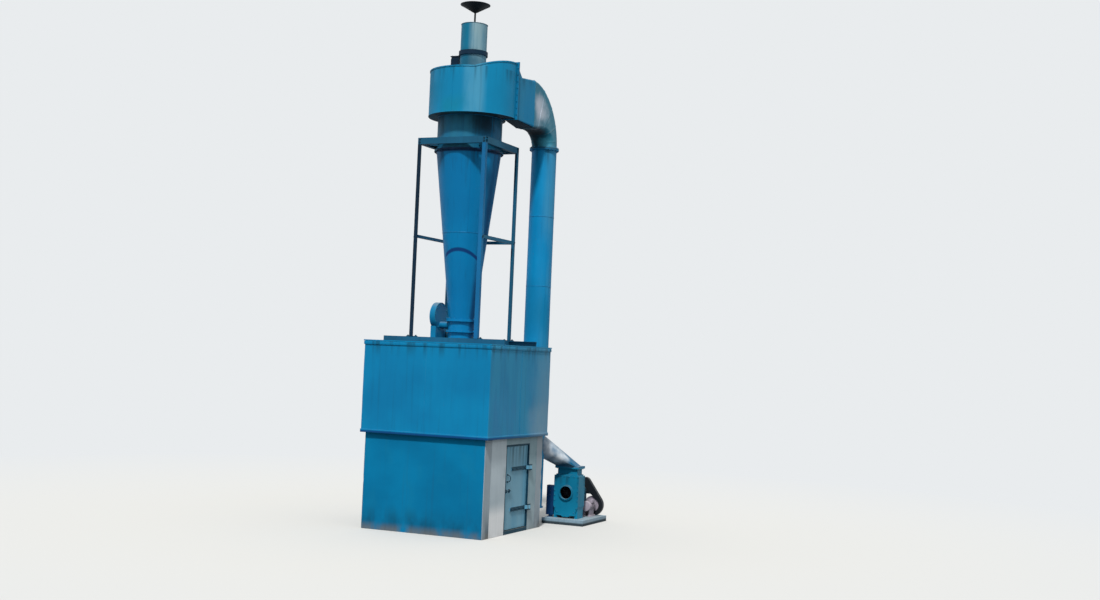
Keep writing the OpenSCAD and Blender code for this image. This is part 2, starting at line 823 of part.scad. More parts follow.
module duct_elbow() {
  n = ring_n;
  m = seg_n;
  ext = 2;
  outer = [for (k = [0 : m]) elbow_section(k / m)];
  s0 = outer[0];
  s1 = outer[m];
  inner = concat([[s0[0], s0[1] - ext, s0[2], s0[3], s0[4], s0[5], 0]],
                 [for (k = [1 : m - 1]) outer[k]],
                 [[s1[0], s1[1], s1[2] - ext, s1[3], s1[4], s1[5], 90]]);
  color(steel_blue) union() {
    difference() {
      loft(outer, 0, n);
      loft(inner, sheet_t, n);
    }
    translate([riser_x, riser_y, 0]) ring(riser_r - sheet_t * half, riser_r + flange_w, elbow_z, flange_t);
  }
}

// Vertical riser pipe with joint rings, blind foot and base plate.
module riser_duct() {
  r = riser_r;
  color(steel_blue) translate([riser_x, riser_y, 0]) difference() {
    union() {
      translate([0, 0, riser_low_z]) cylinder(r = r, h = elbow_z - riser_low_z);
      translate([0, 0, elbow_z - flange_t]) cylinder(r = r + flange_w, h = flange_t);
      translate([0, 0, riser_low_z]) cylinder(r = r + flange_w * half, h = flange_t);
      block([-riser_foot_w * half, -riser_foot_w * half, 0], [riser_foot_w, riser_foot_w, flange_t]);
      cylinder(r = riser_foot_r, h = riser_low_z + eps);
    }
    translate([0, 0, riser_low_z + flange_t]) cylinder(r = r - sheet_t, h = elbow_z);
    translate([fan_x - riser_x, fan_mid_y - riser_y, neck_top]) conn_shape(0, 2);
  }
}

// Inclined duct body from the fan neck to the riser, in coordinates of the neck centre.
module conn_shape(inset, extra) {
  tx = riser_x - fan_x;
  ty = riser_y - fan_mid_y;
  tz = conn_z - neck_top;
  a = neck_half_x - inset;
  b = neck_half_y - inset;
  r = conn_r - inset;
  thick = 2;
  hull() {
    translate([-a, -b, -extra]) cube([2 * a, 2 * b, thick]);
    translate([tx, ty, tz]) sphere_disc(r, thick, tx, ty, tz);
  }
}

// Thin disc facing along the duct, at its joint with the riser.
module sphere_disc(r, h, tx, ty, tz) {
  rotate([0, 0, atan2(ty, tx)]) rotate([0, 68, 0]) cylinder(r = r, h = h, $fn = 48);
}

// Inclined connecting duct, cut to the outside of the riser.
module connecting_duct() {
  color(steel_blue) difference() {
    union() {
      translate([fan_x, fan_mid_y, neck_top]) conn_shape(0, 0);
      block([fan_x - neck_half_x - flange_w, fan_mid_y - neck_half_y - flange_w, neck_top],
            [2 * (neck_half_x + flange_w), 2 * (neck_half_y + flange_w), flange_t]);
    }
    translate([fan_x, fan_mid_y, neck_top]) conn_shape(sheet_t, eps);
    translate([riser_x, riser_y, 0]) cylinder(r = riser_r + fit, h = 3 * conn_z);
  }
}

// Motor starter box on a short post at the left edge of the skid.
module starter_box() {
  w = 60;
  post_h = 40;
  box_w = 140;
  box_d = 110;
  box_h = 530;
  color(steel_dark) union() {
    block([stand_x - w * half, stand_y - w * half, skid_top], [w, w, post_h + eps]);
    block([stand_x - w * half - 12, stand_y - w, skid_top], [w + 24, 2 * w, 12]);
    block([stand_x - box_w * half, stand_y - box_d * half, skid_top + post_h], [box_w, box_d, box_h]);
  }
}

// Fan casing: rectangular plates with rounded lower part, round inlet and top neck.
module fan_casing() {
  a = fan_a;
  t = sheet_t;
  r_in = fan_inlet_r;
  n = 22;
  color(steel_blue) difference() {
    union() {
      translate([fan_x, fan_y + fan_d, fan_z]) rotate([90, 0, 0])
        linear_extrude(height = fan_d) casing_plan(0);
      block([fan_x - neck_half_x, fan_mid_y - neck_half_y, fan_top_z - eps],
            [2 * neck_half_x, 2 * neck_half_y, neck_h + eps]);
      block([fan_x - neck_half_x - flange_w, fan_mid_y - neck_half_y - flange_w, neck_top - flange_t],
            [2 * (neck_half_x + flange_w), 2 * (neck_half_y + flange_w), flange_t]);
      block([fan_x - neck_half_x - n, fan_mid_y - neck_half_y - n, fan_top_z],
            [2 * (neck_half_x + n), 2 * (neck_half_y + n), flange_t]);
      translate([fan_x, fan_y, fan_z]) rotate([90, 0, 0]) cylinder(r = r_in + 28, h = 26);
      for (sx = [-1, 1]) {
        translate([fan_x + sx * (a - 40) - 30, fan_y + 20, skid_top])
          cube([60, fan_d - 40, fan_z - skid_top - casing_foot_drop]);
      }
    }
    translate([fan_x, fan_y + fan_d - t, fan_z]) rotate([90, 0, 0])
      linear_extrude(height = fan_d - 2 * t) casing_plan(t);
    block([fan_x - neck_half_x + t, fan_mid_y - neck_half_y + t, fan_top_z - 2 * t],
          [2 * (neck_half_x - t), 2 * (neck_half_y - t), neck_h + 4 * t]);
    translate([fan_x, fan_y + 2 * t, fan_z]) rotate([90, 0, 0]) cylinder(r = r_in, h = 80);
    translate([fan_x, fan_y + fan_d + eps, fan_z]) rotate([90, 0, 0])
      cylinder(r = shaft_r + 6, h = 3 * t);
  }
}

// Outline of the casing side plate around the shaft centre, inset by t.
module casing_plan(t) {
  a = fan_a - t;
  lo = fan_z - skid_top - 20 - t;
  top = fan_top_z - fan_z - t;
  union() {
    translate([-a, -lo + a * 0.8]) square([2 * a, top + lo - a * 0.8]);
    translate([0, -lo + a]) circle(r = a);
    translate([-a * 0.8, -lo + a * 0.12]) square([1.6 * a, a]);
  }
}

// Fan wheel with hub, blades, shaft and pulley.
module fan_wheel() {
  w = fan_d * 0.5;
  y0 = fan_y + 60;
  color(steel_dark) union() {
    translate([fan_x, y0 + w, fan_z]) rotate([90, 0, 0]) cylinder(r = wheel_r, h = 8);
    translate([fan_x, y0 + w, fan_z]) rotate([90, 0, 0]) cylinder(r = 45, h = w * 0.7);
    for (i = [0 : 7]) {
      translate([fan_x, y0, fan_z]) rotate([0, i * 45, 0])
        translate([40, 0, -4]) cube([wheel_r - 42, w, 8]);
    }
    translate([fan_x, belt_y + 60, fan_z]) rotate([90, 0, 0])
      cylinder(r = shaft_r, h = belt_y + 60 - y0 - w * half);
    translate([fan_x, belt_y + belt_w * half, fan_z]) rotate([90, 0, 0])
      cylinder(r = fan_pulley_r, h = belt_w);
  }
}

// Pedestal with two bearing blocks between the casing and the belt.
module bearing_pedestal() {
  y0 = fan_y + fan_d + 50;
  l = belt_y - belt_w * half - 30 - y0;
  w = pedestal_a * 1.66;
  color(steel_dark) difference() {
    union() {
      block([fan_x - pedestal_a, y0, skid_top], [2 * pedestal_a, l, 14]);
      block([fan_x - w * half, y0, skid_top], [w, l, fan_z - skid_top - 70]);
      for (y = [y0 + 10, y0 + l - 80]) {
        block([fan_x - w * half, y, fan_z - 70], [w, 70, 50]);
        translate([fan_x, y + 70, fan_z]) rotate([90, 0, 0]) cylinder(r = 58, h = 70);
      }
    }
    translate([fan_x, belt_y, fan_z]) rotate([90, 0, 0]) cylinder(r = shaft_r + fit, h = belt_y);
  }
}

// Flat outline of the belt run around both pulleys, grown by g.
module belt_plan(g) {
  hull() {
    circle(r = fan_pulley_r + g);
    translate([motor_x - fan_x, motor_z - fan_z]) circle(r = motor_pulley_r + g);
  }
}

module drive_belt() {
  color(rubber_black) translate([fan_x, belt_y + belt_w * half, fan_z]) rotate([90, 0, 0])
    linear_extrude(height = belt_w) difference() {
      belt_plan(belt_t);
      belt_plan(fit);
    }
}

// Outline of the belt guard, which reaches up past the fan pulley, grown by g.
module guard_plan(g) {
  hull() {
    belt_plan(hood_out + g);
    translate([hood_dx, hood_up]) circle(r = hood_r + g);
  }
}

// Black guard in front of the belt run: a flat plate with a rim, open between the pulleys.
module belt_guard() {
  t = 8;
  y0 = belt_y - belt_w * half - 14;
  depth = belt_w + 28;
  color(black_steel) difference() {
    translate([fan_x, y0, fan_z]) rotate([90, 0, 0]) difference() {
      union() {
        linear_extrude(height = t) guard_plan(0);
        translate([0, 0, -depth]) linear_extrude(height = depth + t) difference() {
          guard_plan(0);
          guard_plan(-t);
        }
      }
      translate([0, 0, -eps]) linear_extrude(height = t + 2 * eps) {
        circle(r = shaft_r + 6);
        intersection() {
          belt_plan(-hood_in);
          translate([-scroll_r, -scroll_r - fan_pulley_r]) square([2 * scroll_r, scroll_r]);
        }
      }
    }
    block([skid_x, skid_y, 0], [2 * skid_w, 2 * skid_l, skid_top]);
  }
}

// Foot mounted motor whose shaft carries the large pulley.
module fan_motor() {
  y0 = belt_y - belt_w * half - 40;
  color(steel_dark) union() {
    translate([motor_x, y0, motor_z]) rotate([90, 0, 0]) cylinder(r = motor_r, h = motor_l);
    block([motor_x - motor_r, y0 - motor_l + 40, skid_top],
          [2 * motor_r, motor_l - 80, motor_z - skid_top - motor_r * 0.6]);
    block([motor_x + motor_r * 0.3, y0 - motor_l + 90, motor_z + motor_r * 0.6],
          [motor_r * 0.7, 130, motor_r * 0.6]);
    translate([motor_x, belt_y + 40, motor_z]) rotate([90, 0, 0]) cylinder(r = 19, h = 120);
    translate([motor_x, belt_y + belt_w * half, motor_z]) rotate([90, 0, 0])
      cylinder(r = motor_pulley_r, h = belt_w);
  }
}

// Skid frame of channels with two cross members.
module fan_skid() {
  t = skid_t;
  color(pale_grey) union() {
    block([skid_x, skid_y, 0], [skid_w, t, skid_h]);
    block([skid_x, skid_y + skid_l - t, 0], [skid_w, t, skid_h]);
    block([skid_x, skid_y, 0], [t, skid_l, skid_h]);
    block([skid_x + skid_w - t, skid_y, 0], [t, skid_l, skid_h]);
    block([skid_x, skid_y, skid_h - 14], [skid_w, skid_l, 14]);
    block([skid_x, fan_y + fan_d, 0], [skid_w, t, skid_h]);
  }
}

chamber_floor();
chamber_front_wall();
chamber_back_wall();
chamber_left_wall();
chamber_near_pier();
chamber_far_pier();
chamber_lintel();
door_frame();
access_door();
bin_shell();
bin_floor();
bin_roof();
bin_chute();
base_frame();
leg_front_left();
leg_front_right();
leg_back_left();
leg_back_right();
mid_braces();
top_frame();
dust_neck();
valve_guard();
valve_gearmotor();
cone_lower();
cone_upper();
barrel();
scroll_shell();
scroll_roof();
pressure_vent();
outlet_stack();
stack_collar();
cap_stalk();
rain_cap();
inlet_transition();
duct_elbow();
riser_duct();
connecting_duct();
starter_box();
fan_casing();
fan_wheel();
bearing_pedestal();
drive_belt();
belt_guard();
fan_motor();
fan_skid();
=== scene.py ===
"""Looks of a cyclone dust separator on its storage bin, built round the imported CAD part.

Lengths are metres, Z is up, and the origin is on the ground under the cyclone axis.
"""

import logging
import math
from collections.abc import Callable, Iterator, Sequence
from contextlib import contextmanager
from dataclasses import dataclass
from enum import Enum
from functools import partial, reduce
from itertools import product
from typing import Any

import bmesh
import bpy
from mathutils import Matrix, Vector


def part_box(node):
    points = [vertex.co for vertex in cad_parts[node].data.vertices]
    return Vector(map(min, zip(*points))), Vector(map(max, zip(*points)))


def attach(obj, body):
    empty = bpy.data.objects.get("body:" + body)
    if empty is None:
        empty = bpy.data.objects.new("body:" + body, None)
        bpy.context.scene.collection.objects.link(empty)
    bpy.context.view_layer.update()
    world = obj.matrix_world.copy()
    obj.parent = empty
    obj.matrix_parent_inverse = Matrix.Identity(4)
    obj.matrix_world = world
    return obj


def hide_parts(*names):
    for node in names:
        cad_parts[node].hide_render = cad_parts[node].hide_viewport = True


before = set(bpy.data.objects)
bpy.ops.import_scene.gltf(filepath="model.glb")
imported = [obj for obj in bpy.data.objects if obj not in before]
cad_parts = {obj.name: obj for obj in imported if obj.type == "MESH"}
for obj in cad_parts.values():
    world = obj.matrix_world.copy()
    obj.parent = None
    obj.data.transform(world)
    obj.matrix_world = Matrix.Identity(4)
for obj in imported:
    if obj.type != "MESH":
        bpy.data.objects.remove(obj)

Piece = bpy.types.Object
Socket = bpy.types.NodeSocket
Point = Sequence[float]
Pair = tuple[float, float]
Edge = tuple[float, ...]
Relief = tuple[Point, float, float]
Test = Callable[[Vector, Vector], bool]

LOG = logging.getLogger("cyclone")
X, Y, Z = Vector((1, 0, 0)), Vector((0, 1, 0)), Vector((0, 0, 1))
# Turns of a round primitive: as it is, with its own Z to the front, and with it to the right.
UPRIGHT, LYING, SIDEWAYS = (0, 0, 0), (math.pi / 2, 0, 0), (0, math.pi / 2, 0)
SIDES = (-1, 1)
CORNERS = tuple(product(SIDES, SIDES))
# Least cosine of the angle between two directions that count as the same.
SAME_WAY = 0.9
# Middles of the belts and of their grooves, from the belt plane.
BELT_OFFSETS = (-0.0155, 0.0, 0.0155)


class Shape(Enum):
    """Mesh primitives that a piece is started from."""

    CUBE = "cube"
    CYLINDER = "cylinder"
    TORUS = "torus"
    CIRCLE = "circle"


class Elements(Enum):
    """What is selected in edit mode."""

    POINTS = "VERT"
    EDGES = "EDGE"
    FACES = "FACE"


class Body(Enum):
    """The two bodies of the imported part."""

    PLANT = "plant"
    DOOR = "door"


class BoltSize(Enum):
    """Hexagon bolts by thread, with the width across the flats."""

    M10 = 0.017
    M12 = 0.019
    M16 = 0.024


# ---------------------------------------------------------------- materials


def linear(code: str) -> tuple[float, float, float, float]:
    """Turn an sRGB hex colour into the linear colour that a shader takes.

    Args:
        code: Six hex digits.

    Returns:
        Linear red, green and blue, and full opacity.
    """
    parts = (int(code[k : k + 2], 16) / 255 for k in (0, 2, 4))
    red, green, blue = (c / 12.92 if c <= 0.04045 else ((c + 0.055) / 1.055) ** 2.4 for c in parts)
    return red, green, blue, 1.0


def add_node(
    tree: bpy.types.NodeTree,
    kind: str,
    inputs: dict[Any, Any] | None = None,
    out: int | str = 0,
    **settings: Any,
) -> Socket:
    """Add one node, set it up and link its inputs.

    Args:
        tree: Node tree that gets the node.
        kind: Blender's name of the node type, without ShaderNode in front.
        inputs: Input name or number, with a value or a socket to link.
        out: Output that is returned, by name or number.
        **settings: Properties of the node itself.

    Returns:
        The chosen output socket.
    """
    made = tree.nodes.new("ShaderNode" + kind)
    for key, value in settings.items():
        setattr(made, key, value)
    for key, value in (inputs or {}).items():
        if isinstance(value, Socket):
            tree.links.new(value, made.inputs[key])
        else:
            made.inputs[key].default_value = value
    return made.outputs[out] if len(made.outputs) else made.inputs[0]


def fresh_tree(owner: bpy.types.Material | bpy.types.World) -> Callable[..., Socket]:
    """Give a material or a world an empty node tree.

    Args:
        owner: Material or world.

    Returns:
        A function that adds nodes to the tree.
    """
    owner.use_nodes = True
    owner.node_tree.nodes.clear()
    return partial(add_node, owner.node_tree)


@dataclass(frozen=True)
class Place:
    """A place on the object with a colour of its own: worn, washed or sooty paint, painted shade,
    or a painted highlight.

    Attributes:
        middle: Middle of the place.
        reach: How far it reaches.
        colour: Colour that shows there, as an sRGB hex value.
        share: How much of it shows, from 0 to 1.
    """

    middle: Point
    reach: float
    colour: str
    share: float = 0.9


@dataclass(frozen=True)
class ShadowLine:
    """A painted shadow line on the sunny side of a shell, where a level or slanting plane cuts it,
    as the shadow of a bar or a flange falls.

    Attributes:
        level: Height at which the plane meets the axis.
        half: Half of the line's height.
        colour: Colour of the line, as an sRGB hex value.
        share: How much of it shows, from 0 to 1.
        across: Rise of the plane's normal along each axis, with 1 upwards.
    """

    level: float
    half: float
    colour: str
    share: float = 0.85
    across: Point = (0.0, 0.0, 1.0)


class Surface:
    """Colour and roughness of one material, built up coat by coat from masks.

    Attributes:
        made: Material that is being built.
        add: Adds a node to its tree.
        where: Place on the object.
        way: Direction that the face looks in.
        height: Height on the object.
        colour: Colour so far.
        rough: Roughness so far.
    """

    def __init__(self, name: str, colour: str, rough: float) -> None:
        """Start a material from its plain coat.

        Args:
            name: Name of the material.
            colour: Colour of the plain coat, as an sRGB hex value.
            rough: Roughness of the plain coat.
        """
        self.made = bpy.data.materials.new(name)
        self.add = fresh_tree(self.made)
        self.where = self.add("TexCoord", out="Object")
        self.way = self.add("NewGeometry", out="Normal")
        self.height = self.add("SeparateXYZ", {0: self.where}, out="Z")
        self.colour: Any = linear(colour)
        self.rough: Any = rough

    def cloud(self, cell: Point, detail: float) -> Socket:
        """Lay out a cloudy pattern.

        Args:
            cell: Size of its patches along each axis.
            detail: How many finer steps it has.

        Returns:
            The pattern, around one half.
        """
        scale = tuple(0.6 / c for c in cell)
        placed = self.add("Mapping", {0: self.where, "Scale": scale})
        return self.add("TexNoise", {0: placed, "Scale": 1.0, "Detail": detail})

    def where_all(self, *masks: Any) -> Any:
        """Mask of where all the masks and plain shares agree."""
        return reduce(lambda a, b: self.add("Math", {0: a, 1: b}, operation="MULTIPLY"), masks)

    def mask(self, value: Socket, edge: Edge, *factors: Socket) -> Socket:
        """Turn a value into a soft mask that other masks may limit.

        Args:
            value: Value that decides.
            edge: Where the mask starts and ends, and optionally what it is there.
            *factors: Masks that it is multiplied by.

        Returns:
            The mask, by default 0 before the edge and 1 after it.
        """
        inputs = dict(enumerate((value, *edge)))
        soft = self.add("MapRange", inputs, interpolation_type="SMOOTHSTEP")
        return self.where_all(soft, *factors)

    def patches(self, cell: Point, edge: Edge, detail: float = 4.0) -> Socket:
        """Mask of soft-edged patches about as large as the cell."""
        return self.mask(self.cloud(cell, detail), edge)

    def looking(self, towards: Point, edge: Edge) -> Socket:
        """Mask of the faces that look in a direction."""
        inputs = {0: self.way, 1: towards}
        return self.mask(self.add("VectorMath", inputs, "Value", operation="DOT_PRODUCT"), edge)

    def around(self, place: Place) -> Socket:
        """Mask of a place, whose edge a cloud pushes in and out by a third of its reach.

        Args:
            place: The place.

        Returns:
            The mask.
        """
        away = self.add(
            "VectorMath", {0: self.where, 1: place.middle}, out="Value", operation="DISTANCE"
        )
        inputs = {0: self.cloud((place.reach * 0.7,) * 3, 5.0), 1: place.reach * 2.0, 2: away}
        ragged = self.add("Math", inputs, operation="MULTIPLY_ADD")
        return self.mask(ragged, (place.reach, place.reach * 2.2, 1.0, 0.0))

    def on_shadow_line(self, line: ShadowLine) -> Socket:
        """Mask of a painted shadow line on the faces that look to the front right.

        Args:
            line: The line.

        Returns:
            The mask.
        """
        inputs = {0: self.where, 1: line.across}
        level = self.add("VectorMath", inputs, "Value", operation="DOT_PRODUCT")
        low, high = line.level - line.half, line.level + line.half
        front = self.looking((0.46, -0.89, 0.0), (0.25, 0.55))
        above = self.mask(level, (low, low + line.half * 0.6), front)
        return self.mask(level, (high - line.half * 0.6, high, 1.0, 0.0), above)

    def lay(self, colour: str, rough: float, *masks: Any) -> None:
        """Lay a coat over what is there, where all the masks agree.

        Args:
            colour: Colour of the coat, as an sRGB hex value.
            rough: Roughness of the coat.
            *masks: Masks or plain shares from 0 to 1.
        """
        share = self.where_all(*masks)
        inputs = {0: share, 6: self.colour, 7: linear(colour)}
        self.colour = self.add("Mix", inputs, out=2, data_type="RGBA")
        self.rough = self.add("Mix", {0: share, 2: self.rough, 3: rough})

    def close(self, reliefs: Sequence[Relief], **shader: Any) -> bpy.types.Material:
        """Add the relief and the shader.

        Args:
            reliefs: Cell, strength and depth of each relief, the widest first.
            **shader: Values of the shader's inputs, with underscores for spaces.

        Returns:
            The finished material.
        """
        inputs: dict[Any, Any] = {"Base Color": self.colour, "Roughness": self.rough}
        for cell, strength, depth in reliefs:
            bump = {"Height": self.cloud(cell, 3.0), "Strength": strength, "Distance": depth}
            if "Normal" in inputs:
                bump["Normal"] = inputs["Normal"]
            inputs["Normal"] = self.add("Bump", bump)
        inputs.update({key.replace("_", " "): value for key, value in shader.items()})
        self.add("OutputMaterial", {0: self.add("BsdfPrincipled", inputs)})
        return self.made


@dataclass(frozen=True)
class Finish:
    """A finish, whose material is built once and then shared.

    Attributes:
        name: Name of the material.
        slot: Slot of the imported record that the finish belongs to.
    """

    name: str
    slot: str

    def material(self) -> bpy.types.Material:
        """Hand out the material, which is built the first time."""
        return bpy.data.materials.get(self.name) or self.build()

    def build(self) -> bpy.types.Material:
        """Build the material from its coats."""
        raise NotImplementedError


@dataclass(frozen=True)
class SteelPaint(Finish):
    """Alkyd enamel brushed over primer on rolled steel sheet.

    It is satin and a little uneven in tone from the brush. One side takes a tone of its own:
    chalked paint, with a painted highlight in some finishes and painted shade in others. It is
    dusty on top, darker below the ledges from grime runs and painted shade, and darker on
    faces that look down as painted shade.

    Attributes:
        colour: Main colour, as an sRGB hex value.
        shade: Darker and deeper tone of the same paint.
        fade_and_light_tone: Tone of that side: weathered chalk, with a painted highlight in some
            finishes and painted shade in others.
        fade_and_light_share: How far that side goes towards that tone.
        fade_and_light_side: Direction that side looks in.
        fade_and_light_edge: How squarely a face must look that way to take that tone.
        grime_and_shade_ledges: Heights below which grime runs and painted shade darken the paint.
        run: Length of those runs.
        rusty: How much rust shows, from 0 to 1.
        dusty: How much dust lies on faces that look up, from 0 to 1.
        underside_shade: How dark the faces are that look down, as painted shade, from 0 to 1.
        foot_shade_height: Height below which the paint is dark, a painted shadow at the foot.
        rough: Typical roughness.
        patch: Size of the tonal patches.
        places: Places with a colour of their own: worn or dirty paint, painted shade and painted
            highlights.
        shadow_lines: Painted shadow lines across the shell.
    """

    colour: str
    shade: str
    fade_and_light_tone: str
    fade_and_light_share: float
    fade_and_light_side: Point = (1.0, 0.0, 0.0)
    fade_and_light_edge: Edge = (0.25, 0.9)
    grime_and_shade_ledges: tuple[float, ...] = ()
    run: float = 0.5
    rusty: float = 0.25
    dusty: float = 0.5
    underside_shade: float = 0.5
    foot_shade_height: float = 0.0
    rough: float = 0.42
    patch: float = 0.7
    places: tuple[Place, ...] = ()
    shadow_lines: tuple[ShadowLine, ...] = ()

    def build(self) -> bpy.types.Material:
        """Build the material from its coats.

        Returns:
            The material.
        """
        paint = Surface(self.name, self.colour, self.rough)
        tone = paint.patches((self.patch,) * 3, (0.36, 0.66))
        paint.lay(self.shade, self.rough + 0.08, tone, 0.75)
        # Brush strokes about 50 mm wide and 600 mm long.
        strokes = paint.patches((0.05, 0.05, 0.6), (0.4, 0.75))
        paint.lay(self.shade, self.rough + 0.04, strokes, 0.22)
        # One side takes its own tone in blotches: chalked paint, with a painted highlight in some
        # finishes and painted shade in others.
        faded = paint.looking(self.fade_and_light_side, self.fade_and_light_edge)
        blotches = paint.patches((0.22, 0.22, 0.9), (0.3, 0.62))
        paint.lay(self.fade_and_light_tone, 0.75, faded, blotches, self.fade_and_light_share)
        # Rain streaks about 35 mm apart.
        paint.lay("12323F", 0.6, paint.patches((0.035, 0.035, 1.1), (0.54, 0.74)), 0.14)
        columns = paint.patches((0.05, 0.05, 1.6), (0.47, 0.66), 3.0)
        # Darker streaks below each ledge: grime runs and painted shade under the ledge.
        for ledge in self.grime_and_shade_ledges:
            below = paint.mask(paint.height, (ledge - self.run, ledge - 0.01, 0.0, 0.5))
            above = paint.mask(paint.height, (ledge, ledge + 0.004, 1.0, 0.0))
            paint.lay("14313A", 0.65, below, above, columns)
        # Rust spots of 10 to 20 mm, in regions of about half a metre.
        spots = paint.patches((0.018, 0.018, 0.03), (0.66, 0.72), 6.0)
        paint.lay("6B3A22", 0.85, spots, paint.patches((0.5, 0.5, 0.4), (0.5, 0.64)), self.rusty)
        top = paint.looking((0.0, 0.0, 1.0), (0.35, 0.95))
        paint.lay("8C8A80", 0.9, top, paint.patches((0.12,) * 3, (0.25, 0.6), 5.0), self.dusty)
        # Faces that look down are darkened as painted shade.
        paint.lay("081620", 0.8, paint.looking((0.0, 0.0, -1.0), (0.45, 0.95)), self.underside_shade)
        # Below that height the paint is dark as a painted shadow at the foot.
        if self.foot_shade_height:
            low = paint.mask(paint.height, (self.foot_shade_height - 0.02, self.foot_shade_height + 0.01, 1.0, 0.0))
            paint.lay("232C30", 0.9, low, 0.9)
        for place in self.places:
            paint.lay(place.colour, 0.75, paint.around(place), place.share)
        # Painted shadow lines across the shell.
        for line in self.shadow_lines:
            paint.lay(line.colour, 0.6, paint.on_shadow_line(line), line.share)
        # Slow waves of the sheet, and brush marks 4 mm apart drawn as coarse as they show.
        reliefs = (((0.55,) * 3, 0.35, 0.02), ((0.006, 0.006, 0.03), 0.22, 0.0012))
        return paint.close(reliefs, IOR=1.5, Specular_IOR_Level=0.14)


@dataclass(frozen=True)
class WallRender(Finish):
    """Sand and cement render, trowelled and finished with limewash or masonry paint.

    It is matt and slightly wavy, gritty close up, with patchy coats, a patchy darker foot
    and mud splashed up from the ground; the lowest half metre can be whitened as painted
    bounce light from the ground.

    Attributes:
        coat: Colour of the main coat, as an sRGB hex value.
        deep: Second tone of the coat.
        bare: Colour of the render where the coat is thin.
        worn: How much bare render shows, from 0 to 1.
        splash: Strength of the mud at the foot of the wall.
        side: Colour of the coat on the door side, where another one ends at the corner.
        ground_bounce_light: Strength of the whitening of the lowest half metre, painted bounce
            light from the ground.
        dark_foot: Strength of the patchy darkening that rises half a metre up the wall.
    """

    coat: str
    deep: str
    bare: str
    worn: float
    splash: float
    side: str = ""
    ground_bounce_light: float = 0.0
    dark_foot: float = 0.1

    def build(self) -> bpy.types.Material:
        """Build the material from its coats.

        Returns:
            The material.
        """
        wall = Surface(self.name, self.coat, 0.85)
        wall.lay(self.deep, 0.85, wall.patches((0.6, 0.6, 0.5), (0.36, 0.66), 5.0))
        wall.lay(self.deep, 0.8, wall.patches((0.22, 0.22, 0.9), (0.4, 0.7)), 0.3)
        thin = wall.cloud((0.16, 0.16, 0.3), 8.0)
        wall.lay(self.bare, 0.92, wall.mask(thin, (0.52, 0.66)), self.worn)
        if self.side:
            wall.lay(self.side, 0.9, wall.looking((1.0, 0.0, 0.0), (0.35, 0.75)))
        # The lowest half metre is whitened as painted bounce light from the ground.
        wall.lay("FAFBFA", 0.9, wall.mask(wall.height, (0.3, 0.6, 1.0, 0.0)), self.ground_bounce_light)
        # The foot darkens in patches up to half a metre.
        foot = wall.mask(wall.height, (0.05, 0.5, 1.0, 0.0))
        wall.lay("0F3A4E", 0.8, foot, wall.mask(thin, (0.3, 0.66)), self.dark_foot)
        ground = wall.mask(wall.height, (0.0, 0.16, 1.0, 0.0))
        wall.lay("8A7F70", 0.95, ground, wall.mask(thin, (0.3, 0.55)), self.splash)
        # Rain streaks about 30 mm apart.
        wall.lay("2A3A40", 0.8, wall.patches((0.03, 0.03, 0.9), (0.55, 0.75)), 0.1)
        # Trowel sweeps of about 150 mm and grit of 2 to 4 mm.
        reliefs = (((0.16, 0.16, 0.09), 0.35, 0.006), ((0.004,) * 3, 0.35, 0.0015))
        return wall.close(reliefs, IOR=1.45, Specular_IOR_Level=0.1)


@dataclass(frozen=True)
class BeltRubber(Finish):
    """Chloroprene V-belt with a cloth cover: near black, matt, greyed by dust."""

    def build(self) -> bpy.types.Material:
        """Build the material from its coats.

        Returns:
            The material.
        """
        belt = Surface(self.name, "17181A", 0.7)
        belt.lay("4A4946", 0.85, belt.patches((0.03, 0.02, 0.03), (0.45, 0.7), 5.0), 0.45)
        # Cover weave of about 1 mm, drawn at 3 mm.
        return belt.close((((0.003,) * 3, 0.3, 0.0008),), IOR=1.52)


BLUE, DARK = "blue_paint", "dark_paint"
# Painted shade lines: under the riser's top flange, and under the barrel flange.
FLANGE_SHADE_LINE = ShadowLine(6.73, 0.028, "0A3450", 0.7)
RING_SHADOW_LINE = ShadowLine(6.45, 0.045, "08103A")
# The side that looks right is paler, partly chalked paint and partly painted light, and so are its
# two pale places; the dark band along the foot is partly a dark bar and partly painted shadow under
# the bin's edge.
BIN_BLUE = SteelPaint(
    "enamel_bin_blue", BLUE, "0582B2", "0472A2", "3A96BC", 0.8, grime_and_shade_ledges=(3.13,), run=0.3,
    places=(
        Place((1.2, 1.15, 2.4), 0.75, "8FA6B2", 0.35),
        Place((1.2, 0.85, 1.7), 0.55, "A6B2B8", 0.4),
    ),
    shadow_lines=(ShadowLine(1.62, 0.032, "082C6C", 0.75),),
)  # fmt: skip
# The cone's right flank darkens as painted shade, and both lines on it are painted shadows: one of
# a bar, one under the barrel flange.
BODY_BLUE = SteelPaint(
    "enamel_body_blue", BLUE, "0280B6", "0272A8", "022E5A", 0.75,
    (0.914, 0.405, 0.0), (0.5, 0.8), (6.45,), underside_shade=0.8,
    shadow_lines=(ShadowLine(4.453, 0.042, "062262", across=(-0.147, 0.831, 1.0)), RING_SHADOW_LINE),
)  # fmt: skip
# Near-black places just under the head are soot and painted shade under the head's overhang.
BARREL_BLUE = SteelPaint(
    "enamel_sooted_shaded_barrel", BLUE, "0C6A94", "084C62", "347888", 0.5,
    (-0.3, -0.95, 0.0), (0.3, 0.9), (7.06,), 0.6, underside_shade=0.9, patch=0.3,
    places=(
        Place((0.48, -0.28, 6.95), 0.3, "050F18", 0.85),
        Place((-0.35, -0.43, 7.05), 0.22, "050F18", 0.7),
    ),
    shadow_lines=(RING_SHADOW_LINE,),
)  # fmt: skip
